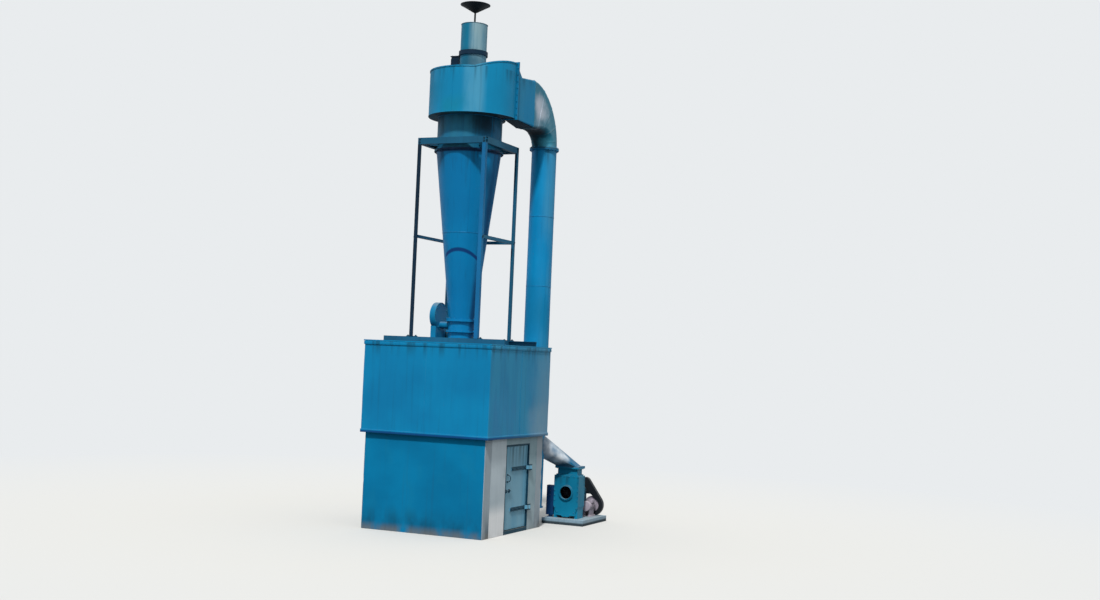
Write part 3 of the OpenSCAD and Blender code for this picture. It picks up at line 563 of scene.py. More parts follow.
# A narrow pale band on the faces that look to the front right is a painted highlight, and the dark
# place on the left of the head is painted shade.
HEAD_BLUE = SteelPaint(
    "enamel_head_blue", BLUE, "0A8BB8", "087DA8", "5CA4C0", 0.6,
    (0.46, -0.888, 0.0), (0.955, 0.997), (7.84,), 0.35, underside_shade=0.95,
    places=(
        Place((-0.74, -0.32, 7.4), 0.65, "04607A", 0.7),
        Place((0.1, -0.8, 7.1), 0.3, "0E7E92", 0.5),
    ),
)  # fmt: skip
INLET_BLUE = SteelPaint(
    "enamel_inlet_blue", BLUE, "0E7CA8", "0A6C94", "3F8CAC", 0.4,
    grime_and_shade_ledges=(7.9,), run=0.4, underside_shade=0.95,
)  # fmt: skip
STACK_BLUE = SteelPaint(
    "enamel_stack_blue", BLUE, "107494", "0B6680", "93AFB4", 0.85,
    (0.95, -0.3, 0.0), (0.25, 0.75), places=(Place((0.05, -0.2, 7.93), 0.36, "1F5468", 0.85),),
)  # fmt: skip
ELBOW_BLUE = SteelPaint(
    "enamel_elbow_blue", BLUE, "0F7690", "0A647C", "8CA6AC", 0.5,
    (0.62, -0.5, 0.6), (0.55, 0.85), underside_shade=0.9,
    places=(
        Place((0.94, 0.85, 7.32), 0.3, "E2E5EE", 0.75),
        # Near-black places under the transition are painted shadow.
        Place((0.78, 1.0, 6.99), 0.26, "06121C", 0.9),
        Place((0.7, 1.16, 6.84), 0.2, "06121C", 0.85),
        # A pale place low on the elbow's right is a painted pool of light where the duct's shadow
        # falls.
        Place((0.9, 1.28, 6.82), 0.17, "58B4CC", 0.7),
    ),
    shadow_lines=(FLANGE_SHADE_LINE,),
)  # fmt: skip
DUCT_BLUE = SteelPaint(
    "enamel_duct_blue", BLUE, "0A90C6", "0680B6", "5A9AB4", 0.4, grime_and_shade_ledges=(6.7,), run=0.4,
    places=(Place((0.8, 1.2, 3.7), 0.9, "067096", 0.6),), shadow_lines=(FLANGE_SHADE_LINE,),
)  # fmt: skip
# Its lower front side is paler, partly chalked paint and partly painted light, and the two
# near-white places on it are a painted highlight on that shaded side.
FEED_BLUE = SteelPaint(
    "enamel_feed_duct_blue", BLUE, "14688E", "0D567A", "6E98AC", 0.5,
    (-0.3, -0.85, -0.4), (0.3, 0.8),
    places=(
        Place((1.02, 1.6, 1.32), 0.24, "F4F7F8", 0.9),
        Place((1.16, 1.74, 1.2), 0.2, "F4F7F8", 0.9),
    ),
)  # fmt: skip
FAN_BLUE = SteelPaint(
    "enamel_fan_blue", BLUE, "1280A2", "0C6C8C", "4F8799", 0.3, grime_and_shade_ledges=(0.85,), run=0.3
)
DARK_STEEL = SteelPaint(
    "enamel_dark_teal", DARK, "0D3D52", "082C3E", "35606F", 0.3, rusty=0.45, rough=0.5
)
STARTER_NAVY = SteelPaint(
    "enamel_starter_navy", DARK, "12406E", "0C3058", "3A6488", 0.3, rusty=0.4, rough=0.5
)
SUNLIT_LEG_BLUE = SteelPaint(
    "enamel_sunlit_leg_blue", DARK, "1870A4", "12608E", "3A86AA", 0.3, rusty=0.3, rough=0.5
)
FRAME_TEAL = SteelPaint(
    "enamel_frame_teal", DARK, "1E6282", "164E6A", "3A7A92", 0.3, rusty=0.35, rough=0.5
)
COLLAR_NAVY = SteelPaint(
    "enamel_dark_navy_and_shade", DARK, "0A2A40", "061C2C", "1E4050", 0.15, dusty=0.25, rough=0.55
)
# Near black for the fan wheel and the inlet wires: soot, and painted shade in the fan's mouth.
SOOT_AND_SHADE_BLACK = SteelPaint(
    "sooty_fan_wheel", DARK, "06060C", "030306", "101018", 0.2, rusty=0.1, dusty=0.0
)
MOTOR_GREY = SteelPaint(
    "enamel_dusty_motor", DARK, "B4A9B4", "8C8490", "CFC8CC", 0.4, rusty=0.4, rough=0.6
)
DOOR_BLUE = SteelPaint(
    "enamel_faded_door", "door_paint", "66A4C0", "5594B0", "98BCC8", 0.5,
    grime_and_shade_ledges=(1.45,), run=0.5, rusty=0.45, rough=0.55,
)  # fmt: skip
CAP_BLACK = SteelPaint(
    "bitumen_black_cap", "black_paint", "23282D", "171B1F", "3A4248", 0.3, rusty=0.2, dusty=0.2
)
SKID_PALE = SteelPaint(
    "primer_pale_skid", "pale_paint", "8EA9B8", "7C96A6", "B4BCC0", 0.3,
    rusty=0.3, foot_shade_height=0.055, rough=0.6,
)  # fmt: skip
WALL_BLUE = WallRender(
    "masonry_paint_blue", "blue_wall", "047CAA", "03709C", "147A9E", 0.25, 0.5, "A9B4BA", dark_foot=0.7
)
PIER_WHITE = WallRender(
    "limewashed_render_near", "render_wall", "CDD9DE", "BAC8CE", "98A6AA", 0.4, 0.15,
    ground_bounce_light=1.0, dark_foot=0.0,
)  # fmt: skip
PIER_GREY = WallRender(
    "limewashed_render_far", "render_wall", "9EB6BC", "8AA4AC", "6E8890", 0.6, 0.4, ground_bounce_light=0.2
)
RUBBER = BeltRubber("rubber_v_belt", "belt_rubber")


# ---------------------------------------------------------------- modelling by hand


def activate(piece: Piece) -> None:
    """Make one piece the only one that operators act on.

    Args:
        piece: The piece.
    """
    bpy.ops.object.select_all(action="DESELECT")
    piece.select_set(True)
    bpy.context.view_layer.objects.active = piece


def start(shape: Shape, **settings: Any) -> Piece:
    """Add a primitive at its size and place, as the start of a piece.

    Args:
        shape: Primitive to add.
        **settings: Settings of Blender's operator for that primitive.

    Returns:
        The new object, with its place in its mesh.
    """
    bpy.ops.object.select_all(action="DESELECT")
    getattr(bpy.ops.mesh, f"primitive_{shape.value}_add")(**settings)
    activate(bpy.context.object)
    bpy.ops.object.transform_apply(location=True, rotation=True, scale=True)
    return bpy.context.object


def block(low: Point, high: Point) -> Piece:
    """Start a piece from a cuboid between two corners."""
    size, middle = zip(*((b - a, (a + b) / 2) for a, b in zip(low, high)))
    return start(Shape.CUBE, size=1.0, location=middle, scale=size)


def rod(place: Point, radius: float, depth: float, sides: int, turn: Point = LYING) -> Piece:
    """Start a piece from a cylinder round a middle, by default one that lies front to back."""
    sizes = {"radius": radius, "depth": depth, "vertices": sides}
    return start(Shape.CYLINDER, location=place, rotation=turn, **sizes)


def hoop(
    place: Point, radius: float, wire: float, steps: tuple[int, int], turn: Point = UPRIGHT
) -> Piece:
    """Start a piece from a ring of round wire.

    Args:
        place: Middle of the ring.
        radius: Radius of the ring.
        wire: Radius of the wire.
        steps: Faces round the ring and round the wire.
        turn: Turn of the ring.

    Returns:
        The ring.
    """
    sizes = {"major_radius": radius, "minor_radius": wire}
    sizes |= {"major_segments": steps[0], "minor_segments": steps[1]}
    return start(Shape.TORUS, location=place, rotation=turn, **sizes)


@contextmanager
def editing(piece: Piece, elements: Elements) -> Iterator[None]:
    """Open a piece in edit mode with nothing selected, and close it after.

    Args:
        piece: Piece to edit.
        elements: What is selected in it.
    """
    activate(piece)
    bpy.ops.object.mode_set(mode="EDIT")
    bpy.ops.mesh.select_mode(type=elements.value)
    bpy.ops.mesh.select_all(action="DESELECT")
    try:
        yield
    finally:
        bpy.ops.object.mode_set(mode="OBJECT")


def along(axis: Vector, near: Callable[[Vector], bool] = lambda middle: True) -> Test:
    """Test for edges that run along an axis, or faces across it, where near holds."""
    return lambda middle, way: abs(way.dot(axis)) > SAME_WAY and near(middle)


def facing(axis: Vector) -> Test:
    """Test for faces that look in the direction of an axis."""
    return lambda middle, way: way.dot(axis) > SAME_WAY


def at_corner(reach: float) -> Callable[[Vector], bool]:
    """Test for places on the upright corner edges of a square plan."""
    return lambda middle: max(abs(abs(v) - reach) for v in middle.xy) < 1e-4


def pick(piece: Piece, test: Test) -> int:
    """Select what passes a test, in the elements that are being edited.

    Args:
        piece: Piece that is open in edit mode.
        test: Told the middle of each element and its normal, or an edge's direction.

    Returns:
        How many elements were selected.
    """
    bpy.ops.mesh.select_all(action="DESELECT")
    mesh = bmesh.from_edit_mesh(piece.data)
    if bpy.context.tool_settings.mesh_select_mode[2]:
        known = [(f, f.calc_center_median(), f.normal) for f in mesh.faces]
    else:
        ends = [(e, e.verts[0].co, e.verts[1].co) for e in mesh.edges]
        known = [(e, (a + b) / 2, (b - a).normalized()) for e, a, b in ends]
    chosen = [item for item, middle, way in known if test(middle, way)]
    for item in chosen:
        item.select_set(True)
    mesh.select_flush_mode()
    bmesh.update_edit_mesh(piece.data)
    return len(chosen)


def bevel(piece: Piece, elements: Elements, test: Test, offset: float, segments: int = 1) -> None:
    """Bevel the edges or faces that pass a test, if there are any.

    Args:
        piece: Piece to bevel.
        elements: What is tested.
        test: Told the middle of each element and its normal, or an edge's direction.
        offset: Width of the bevel.
        segments: Number of faces across it.
    """
    with editing(piece, elements):
        if pick(piece, test):
            bpy.ops.mesh.bevel(offset=offset, segments=segments)


def subdivide(piece: Piece, cuts: int) -> None:
    """Cut every edge of a piece into equal parts.

    Args:
        piece: Piece to cut.
        cuts: Number of cuts in each edge.
    """
    with editing(piece, Elements.EDGES):
        bpy.ops.mesh.select_all(action="SELECT")
        bpy.ops.mesh.subdivide(number_cuts=cuts)


def open_ends(piece: Piece) -> None:
    """Delete the level faces at the top and the foot of a piece.

    Args:
        piece: Piece to open.
    """
    with editing(piece, Elements.FACES):
        pick(piece, along(Z))
        bpy.ops.mesh.delete(type="FACE")


def face_outwards(piece: Piece) -> None:
    """Turn all the faces of a piece outwards.

    Args:
        piece: Piece to turn.
    """
    with editing(piece, Elements.FACES):
        bpy.ops.mesh.select_all(action="SELECT")
        bpy.ops.mesh.normals_make_consistent(inside=False)


def extrude(move: Point) -> None:
    """Extrude what is selected."""
    bpy.ops.mesh.extrude_region_move(TRANSFORM_OT_translate={"value": move})


def step_in(thickness: float, move: Point) -> None:
    """Inset the selected faces and move what lies inside."""
    bpy.ops.mesh.inset(thickness=thickness)
    bpy.ops.transform.translate(value=move)


def dish(thickness: float, push: float, **settings: Any) -> None:
    """Inset the selected faces and push what lies inside along its normals."""
    bpy.ops.mesh.inset(thickness=thickness, **settings)
    bpy.ops.transform.shrink_fatten(value=push)


def modify(piece: Piece, kind: str, **settings: Any) -> None:
    """Add a modifier to a piece and apply it.

    Args:
        piece: Piece to change.
        kind: Blender's name of the modifier.
        **settings: Properties of the modifier.
    """
    activate(piece)
    made = piece.modifiers.new(kind.title(), kind)
    for key, value in settings.items():
        setattr(made, key, value)
    bpy.ops.object.modifier_apply(modifier=made.name)


def dent(piece: Piece, pattern: str, cell: float, depth: int, strength: float) -> None:
    """Push the faces of a piece inwards by a cloudy pattern.

    Args:
        piece: Piece to dent.
        pattern: Name of the pattern.
        cell: Length of its waves.
        depth: How many finer steps it has.
        strength: Depth of the deepest dent.
    """
    clouds = bpy.data.textures.get(pattern) or bpy.data.textures.new(pattern, "CLOUDS")
    clouds.noise_scale = cell
    clouds.noise_depth = depth
    settings = {"mid_level": 1.0, "texture_coords": "LOCAL"}
    modify(piece, "DISPLACE", texture=clouds, strength=strength, **settings)


def stand(place: Point, axis: Point = (0, 0, 1), turn: float = 0.0) -> Matrix:
    """Matrix that stands a shape at a place with its own Z along the axis."""
    way = Z.rotation_difference(Vector(axis)).to_matrix().to_4x4()
    return Matrix.Translation(Vector(place)) @ way @ Matrix.Rotation(turn, 4, "Z")


def join(pieces: Sequence[Piece]) -> Piece:
    """Join pieces into the first one.

    Args:
        pieces: One piece or more.

    Returns:
        The joined piece, which is active.
    """
    activate(pieces[0])
    for piece in pieces[1:]:
        piece.select_set(True)
    if len(pieces) > 1:
        bpy.ops.object.join()
    return bpy.context.view_layer.objects.active


def dress(
    name: str,
    parts: Sequence[Piece],
    finish: Finish,
    body: Body = Body.PLANT,
    stands_for: Sequence[str] = (),
    smooth: float = 30.0,
) -> None:
    """Join the parts of a piece, and give it its name, material and body.

    Args:
        name: Name of the piece.
        parts: Parts of the piece.
        finish: Finish that it gets.
        body: Body that it rides on.
        stands_for: CAD nodes that it replaces, if any.
        smooth: Angle up to which edges are shaded smooth, in degrees.
    """
    piece = join(parts)
    piece.name = piece.data.name = name
    bpy.ops.object.shade_smooth_by_angle(angle=math.radians(smooth))
    piece.data.materials.clear()
    piece.data.materials.append(finish.material())
    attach(piece, body.value)
    if stands_for:
        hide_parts(*stands_for)
    LOG.info("%s: %d faces, %s", name, len(piece.data.polygons), finish.name)


def paint(finish: Finish, *nodes: str) -> None:
    """Give carried-over CAD nodes their finish, in the slots that they have.

    Args:
        finish: Finish that they get.
        *nodes: Names of the nodes.
    """
    for node in nodes:
        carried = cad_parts[node]
        if not carried.material_slots:
            carried.data.materials.append(finish.material())
        for slot in carried.material_slots:
            slot.material = finish.material()
        LOG.info("%s: carried over, %s", node, finish.name)


def hex_bolt(size: BoltSize) -> Piece:
    """Model a hexagon head on its washer, standing on the origin.

    Args:
        size: Size of the bolt.

    Returns:
        The head and the washer.
    """
    flats = size.value
    washer, height = 0.13 * flats, 0.62 * flats
    head = rod((0, 0, washer + height / 2), flats / math.sqrt(3), height, 6, UPRIGHT)
    bevel(head, Elements.FACES, facing(Z), 0.09 * flats)
    with editing(head, Elements.FACES):
        bpy.ops.mesh.primitive_cylinder_add(
            vertices=12, radius=0.95 * flats, depth=washer, location=(0, 0, washer / 2)
        )
    return head


def bolts(size: BoltSize, places: Sequence[Matrix]) -> Piece:
    """Copy one bolt to each place, each copy with its own mesh, as one piece.

    Args:
        size: Size of the bolts.
        places: Where they stand.

    Returns:
        All of them as one piece.
    """
    pattern, copies = hex_bolt(size), []
    for place in places:
        copy = bpy.data.objects.new("bolt", pattern.data.copy())
        copy.data.transform(place)
        bpy.context.scene.collection.objects.link(copy)
        copies.append(copy)
    bpy.data.objects.remove(pattern)
    return join(copies)


def polar(radius: float, angle: float) -> Pair:
    """Point at an angle on a circle round the origin."""
    return radius * math.cos(angle), radius * math.sin(angle)


def ring_of(
    centre: Point, radius: float, count: int, axis: Point = (0, 0, 1), first: float = 0.0
) -> list[Matrix]:
    """Places of bolts on a circle, each turned a little further than the last.

    Args:
        centre: Middle of the circle.
        radius: Radius of the circle.
        count: Number of bolts.
        axis: Direction of their heads.
        first: Angle of the first one.

    Returns:
        The places.
    """
    angles = [first + math.tau * k / count for k in range(count)]
    spots = [(Matrix.Translation((*polar(radius, angle), 0)), angle) for angle in angles]
    return [stand(centre, axis) @ at @ Matrix.Rotation(angle * 1.7, 4, "Z") for at, angle in spots]


def weld(
    points: Sequence[Point], bead: float = 0.005, closed: bool = False, seed: int = 1
) -> Piece:
    """Lay a slightly uneven weld bead along points.

    Args:
        points: Points of the run.
        bead: Radius of the bead.
        closed: Whether the run ends where it starts.
        seed: Seed of its unevenness.

    Returns:
        The bead.
    """
    line = bpy.data.curves.new("weld", "CURVE")
    line.dimensions = "3D"
    line.bevel_depth = bead
    line.bevel_resolution = 1
    line.use_fill_caps = not closed
    spline = line.splines.new("POLY")
    spline.points.add(len(points) - 1)
    for knot, point in zip(spline.points, points):
        knot.co = (*point, 1.0)
    spline.use_cyclic_u = closed
    piece = bpy.data.objects.new("weld", line)
    bpy.context.scene.collection.objects.link(piece)
    activate(piece)
    bpy.ops.object.convert(target="MESH")
    piece = bpy.context.object
    with editing(piece, Elements.POINTS):
        bpy.ops.mesh.select_all(action="SELECT")
        bpy.ops.mesh.remove_doubles(threshold=0.00001)
        bpy.ops.transform.vertex_random(offset=bead * 0.22, seed=seed)
        bpy.ops.mesh.normals_make_consistent(inside=False)
    return piece


def line_points(first: Point, last: Point, step: float = 0.03) -> list[Point]:
    """Points from one end of a straight line to the other.

    Args:
        first: First end.
        last: Other end.
        step: Largest distance of the points.

    Returns:
        The points.
    """
    a, b = Vector(first), Vector(last)
    count = max(2, int((b - a).length / step))
    return [tuple(a.lerp(b, k / count)) for k in range(count + 1)]


def ring_points(
    centre: Point, radius: float, count: int = 120, arc: Pair | None = None
) -> list[Point]:
    """Points round a level circle, or along an arc of it.

    Args:
        centre: Middle of the circle.
        radius: Radius of the circle.
        count: Number of steps.
        arc: First and last angle of the arc, in degrees.

    Returns:
        The points.
    """
    low, high = arc or (0.0, 360.0)
    stops = count if arc is None else count + 1
    spots = [polar(radius, math.radians(low + (high - low) * k / count)) for k in range(stops)]
    return [(centre[0] + x, centre[1] + y, centre[2]) for x, y in spots]


# ---------------------------------------------------------------- sub-assemblies


@dataclass
class Chamber:
    """Rendered masonry chamber with its steel lined doorway.

    Attributes:
        corner: Radius of the worn outer corners.
        wave: How far the render waves in and out.
    """

    corner: float = 0.016
    wave: float = 0.005

    def wall(self, node: str, finish: Finish) -> None:
        """Model one wall with worn corners and hand-trowelled faces.

        Args:
            node: CAD node of the wall, which it replaces.
            finish: Render that it gets.
        """
        low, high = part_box(node)
        reach = max(abs(v) for v in (low.x, high.x, low.y, high.y))
        piece = block(low, high)
        subdivide(piece, 19)
        bevel(piece, Elements.EDGES, along(Z, at_corner(reach)), self.corner, 3)
        dent(piece, "trowel", 0.3, 2, self.wave)
        dress(f"{node}_render", [piece], finish, stands_for=(node,))

    def build(self) -> None:
        """Make the walls and dress the doorway."""
        for side in ("front", "back", "left"):
            self.wall(f"chamber_{side}_wall", WALL_BLUE)
        self.wall("chamber_near_pier", PIER_WHITE)
        self.wall("chamber_far_pier", PIER_GREY)
        self.wall("chamber_lintel", PIER_GREY)
        paint(PIER_GREY, "chamber_floor")
        paint(DARK_STEEL, "door_frame")


@dataclass
class AccessDoor:
    """Sheet steel door leaf with strap hinges, a slide bolt and a pull handle.

    Attributes:
        face: Place of the front of the leaf, across.
        low: Near foot corner of the leaf, back and up.
        high: Far top corner of the leaf, back and up.
        rim: Width of the folded rim round the leaf.
        proud: How far the rim stands out of the panel.
        straps: Heights of the strap hinges.
        grip: Middle of the pull handle, back and up.
        slide: Height of the slide bolt.
    """

    face: float = 1.1
    low: Pair = (-0.298, 0.072)
    high: Pair = (0.558, 1.458)
    rim: float = 0.045
    proud: float = 0.006
    straps: Pair = (0.4, 1.08)
    grip: Pair = (-0.2, 0.93)
    slide: float = 0.72

    def build(self) -> None:
        """Make the details that ride on the door."""
        paint(DOOR_BLUE, "access_door")
        front = self.face + self.proud
        rim = block((self.face, *self.low), (front, *self.high))
        with editing(rim, Elements.FACES):
            pick(rim, facing(X))
            step_in(self.rim, (-self.proud * 0.9, 0, 0))
        bevel(rim, Elements.EDGES, lambda middle, way: middle.x > front - 0.0003, 0.002, 2)
        dress("door_folded_rim", [rim], DOOR_BLUE, Body.DOOR)
        self.hinges()
        self.handle()
        self.slide_bolt()

    def hinges(self) -> None:
        """Strap plates with one pointed end, and their bolts."""
        back, front = self.face + 0.012, self.face + 0.016
        near, far, half = -0.064, 0.53, 0.033
        plates = [block((back, near, z - half), (front, far, z + half)) for z in self.straps]
        for plate in plates:
            bevel(plate, Elements.EDGES, along(X, lambda middle: middle.y < 0.0), 0.02, 3)
        dress("door_strap_plates", plates, DARK_STEEL, Body.DOOR)
        spots = [stand((front, y, z), X) for z in self.straps for y in (-0.03, 0.13, 0.29, 0.45)]
        dress("door_strap_bolts", [bolts(BoltSize.M12, spots)], DARK_STEEL, Body.DOOR)

    def handle(self) -> None:
        """Bent rod handle with two feet, near the free edge of the leaf."""
        face, (y, z) = self.face, self.grip
        reach, pad, turn = 0.06, 0.016, (0, math.pi / 2, math.pi / 2)
        parts = [hoop((face + 0.002, y, z), reach, 0.007, (36, 10), turn)]
        with editing(parts[0], Elements.FACES):
            bpy.ops.mesh.select_all(action="SELECT")
            bpy.ops.mesh.bisect(plane_co=(face, y, z), plane_no=X, clear_inner=True, use_fill=True)
        face_outwards(parts[0])
        for at in (z - reach, z + reach):
            foot = block((face, y - pad, at - pad), (face + 0.009, y + pad, at + pad))
            bevel(foot, Elements.FACES, facing(X), 0.002)
            parts.append(foot)
        dress("door_pull_handle", parts, DARK_STEEL, Body.DOOR)

    def slide_bolt(self) -> None:
        """Round slide bolt in two keepers."""
        face, z = self.face, self.slide
        parts = [rod((face + 0.018, -0.19, z), 0.008, 0.2, 14)]
        bevel(parts[0], Elements.FACES, along(Y), 0.002)
        for y in (-0.26, -0.14):
            keeper = block((face, y - 0.012, z - 0.03), (face + 0.03, y + 0.012, z + 0.03))
            outer = along(Y, lambda middle: middle.x > face + 0.02)
            bevel(keeper, Elements.EDGES, outer, 0.012, 3)
            parts.append(keeper)
        dress("door_slide_bolt", parts, DARK_STEEL, Body.DOOR)


@dataclass
class StorageBin:
    """Welded sheet steel bin that stands on the chamber.

    Attributes:
        rim_height: Height of the flat bars round the top and the foot.
        rim_proud: How far they stand out of the sheets.
        corner: Radius of the folded corners.
        buckle: How far the sheets buckle inwards.
    """

    rim_height: float = 0.055
    rim_proud: float = 0.007
    corner: float = 0.018
    buckle: float = 0.009

    def build(self) -> None:
        """Make the sheets, rims and welds, and dress the decks."""
        low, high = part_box("bin_shell")
        self.sheets(low, high)
        self.rims(low, high)
        self.welds(low, high)
        paint(DARK_STEEL, "bin_floor", "bin_chute")
        paint(BIN_BLUE, "bin_roof")

    def sheets(self, low: Vector, high: Vector) -> None:
        """Four sheets with folded corners that buckle a little between the edges.

        Args:
            low: Lowest corner of the bin.
            high: Highest corner of the bin.
        """
        proud = Vector((self.rim_proud, self.rim_proud, 0))
        piece = block(low + proud, high - proud)
        open_ends(piece)
        subdivide(piece, 27)
        folds = along(Z, at_corner(high.x - self.rim_proud))
        bevel(piece, Elements.EDGES, folds, self.corner, 4)
        dent(piece, "buckle", 0.62, 1, self.buckle)
        modify(piece, "SOLIDIFY", thickness=0.006, offset=-1.0)
        dress("bin_sheets", [piece], BIN_BLUE, stands_for=("bin_shell",), smooth=40)

    def rims(self, low: Vector, high: Vector) -> None:
        """Flat bars round the top and the foot of the sheets.

        Args:
            low: Lowest corner of the bin.
            high: Highest corner of the bin.
        """
        bars = []
        for z in (low.z, high.z - self.rim_height - 0.004):
            bar = block((*low.xy, z), (*high.xy, z + self.rim_height))
            open_ends(bar)
            bevel(bar, Elements.EDGES, along(Z), self.corner, 4)
            modify(bar, "SOLIDIFY", thickness=0.012, offset=-1.0)
            modify(bar, "BEVEL", width=0.0018, segments=2, limit_method="ANGLE")
            bars.append(bar)
        dress("bin_rim_bars", bars, BIN_BLUE)

    def welds(self, low: Vector, high: Vector) -> None:
        """Butt welds in the middle of each side.

        Args:
            low: Lowest corner of the bin.
            high: Highest corner of the bin.
        """
        p = self.rim_proud + 0.004
        z0, z1 = low.z + self.rim_height, high.z - self.rim_height - 0.006
        ends = ((0.0, low.y + p), (0.0, high.y - p), (low.x + p, 0.0), (high.x - p, 0.0))
        beads = [
            weld(line_points((x, y, z0), (x, y, z1)), 0.0045, seed=k + 1)
            for k, (x, y) in enumerate(ends)
        ]
        dress("bin_sheet_welds", beads, BIN_BLUE)


@dataclass
class SupportFrame:
    """Channels and angle legs that carry the cyclone, with their plates and bolts.

    Attributes:
        leg: Distance of the legs from the axis, across and back.
        foot: Height of the foot of the legs.
    """

    leg: float = 0.615
    foot: float = 3.24

    def build(self) -> None:
        """Dress the sections and add foot plates and bolts."""
        sections = ("leg_back_left", "leg_back_right", "base_frame", "mid_braces", "top_frame")
        paint(FRAME_TEAL, *sections)
        # The front legs share one frame paint: the left one is painted dark navy as painted shade,
        # the right one lighter blue as painted light.
        paint(COLLAR_NAVY, "leg_front_left")
        paint(SUNLIT_LEG_BLUE, "leg_front_right")
        self.foot_plates()
        self.joints()

    def foot_plates(self) -> None:
        """Bevelled plates under the legs, bolted through the channels."""
        plates, spots = [], []
        low, high = self.foot, self.foot + 0.01
        half_x, half_y = 0.1, 0.03
        for x, y in product((-self.leg, self.leg), repeat=2):
            plate = block((x - half_x, y - half_y, low), (x + half_x, y + half_y, high))
            bevel(plate, Elements.EDGES, along(Z), 0.008, 2)
            plates.append(plate)
            spots += [stand((x + dx, y, high)) for dx in (-0.075, 0.075)]
        dress("leg_foot_plates", plates, DARK_STEEL)
        dress("leg_foot_bolts", [bolts(BoltSize.M16, spots)], DARK_STEEL)

    def joints(self) -> None:
        """Bolts through the braces and the top channels, on the outer faces."""
        leg, out = self.leg, self.leg + 0.035
        spots = [
            stand((sx * out, sy * leg + dy, z), (sx, 0, 0))
            for z, dy in ((4.94, -0.012), (4.965, 0.012))
            for sx, sy in CORNERS
        ]
        for z in (6.56, 6.61):
            spots += [stand((sx * leg, sy * out, z), (0, sy, 0)) for sx, sy in CORNERS]
        dress("frame_joint_bolts", [bolts(BoltSize.M12, spots)], DARK_STEEL)


@dataclass
class CycloneBody:
    """Cone, barrel and dust neck, with flange bolts and welds.

    Attributes:
        cone: Radius and height of the foot of the cone.
        barrel: Radius and height of the foot of the barrel.
        joint: Height of the weld between the cone's two halves.
        top: Height of the top of the barrel.
    """

    cone: Pair = (0.222, 3.575)
    barrel: Pair = (0.56, 6.45)
    joint: float = 5.05
    top: float = 7.05

    def radius(self, z: float) -> float:
        """Outer radius of the cone or barrel at a height."""
        (r0, z0), (r1, z1) = self.cone, self.barrel
        return r1 if z >= z1 else r0 + (r1 - r0) * (z - z0) / (z1 - z0)

    def build(self) -> None:
        """Dress the shells and add their fastenings."""
        paint(BODY_BLUE, "cone_lower", "cone_upper", "dust_neck")
        paint(BARREL_BLUE, "barrel")
        (r_cone, z_cone), (r_barrel, z_barrel) = self.cone, self.barrel
        neck, flange = (r_cone + 0.02, 12), (r_barrel + 0.021, 28)
        rings = ((z_cone, neck, Z), (z_cone - 0.044, neck, -Z), (z_cone - 0.208, neck, Z))
        rings += ((z_barrel + 0.022, flange, Z), (z_barrel, flange, -Z))
        spots = [spot for z, size, way in rings for spot in ring_of((0, 0, z), *size, way)]
        dress("body_flange_bolts", [bolts(BoltSize.M12, spots)], BODY_BLUE)
        beads = [
            weld(ring_points((0, 0, self.joint), self.radius(self.joint)), 0.005, True, 3),
            weld(ring_points((0, 0, self.top - 0.004), r_barrel + 0.002), 0.005, True, 4),
        ]
        seams = ((-100, z_cone, self.joint), (-58, self.joint, z_barrel), (-20, 6.66, self.top))
        for angle, z0, z1 in seams:
            ends = [(*polar(self.radius(z), math.radians(angle)), z) for z in (z0, z1)]
            beads.append(weld(line_points(*ends), 0.0035))
        dress("body_welds", beads, BODY_BLUE)


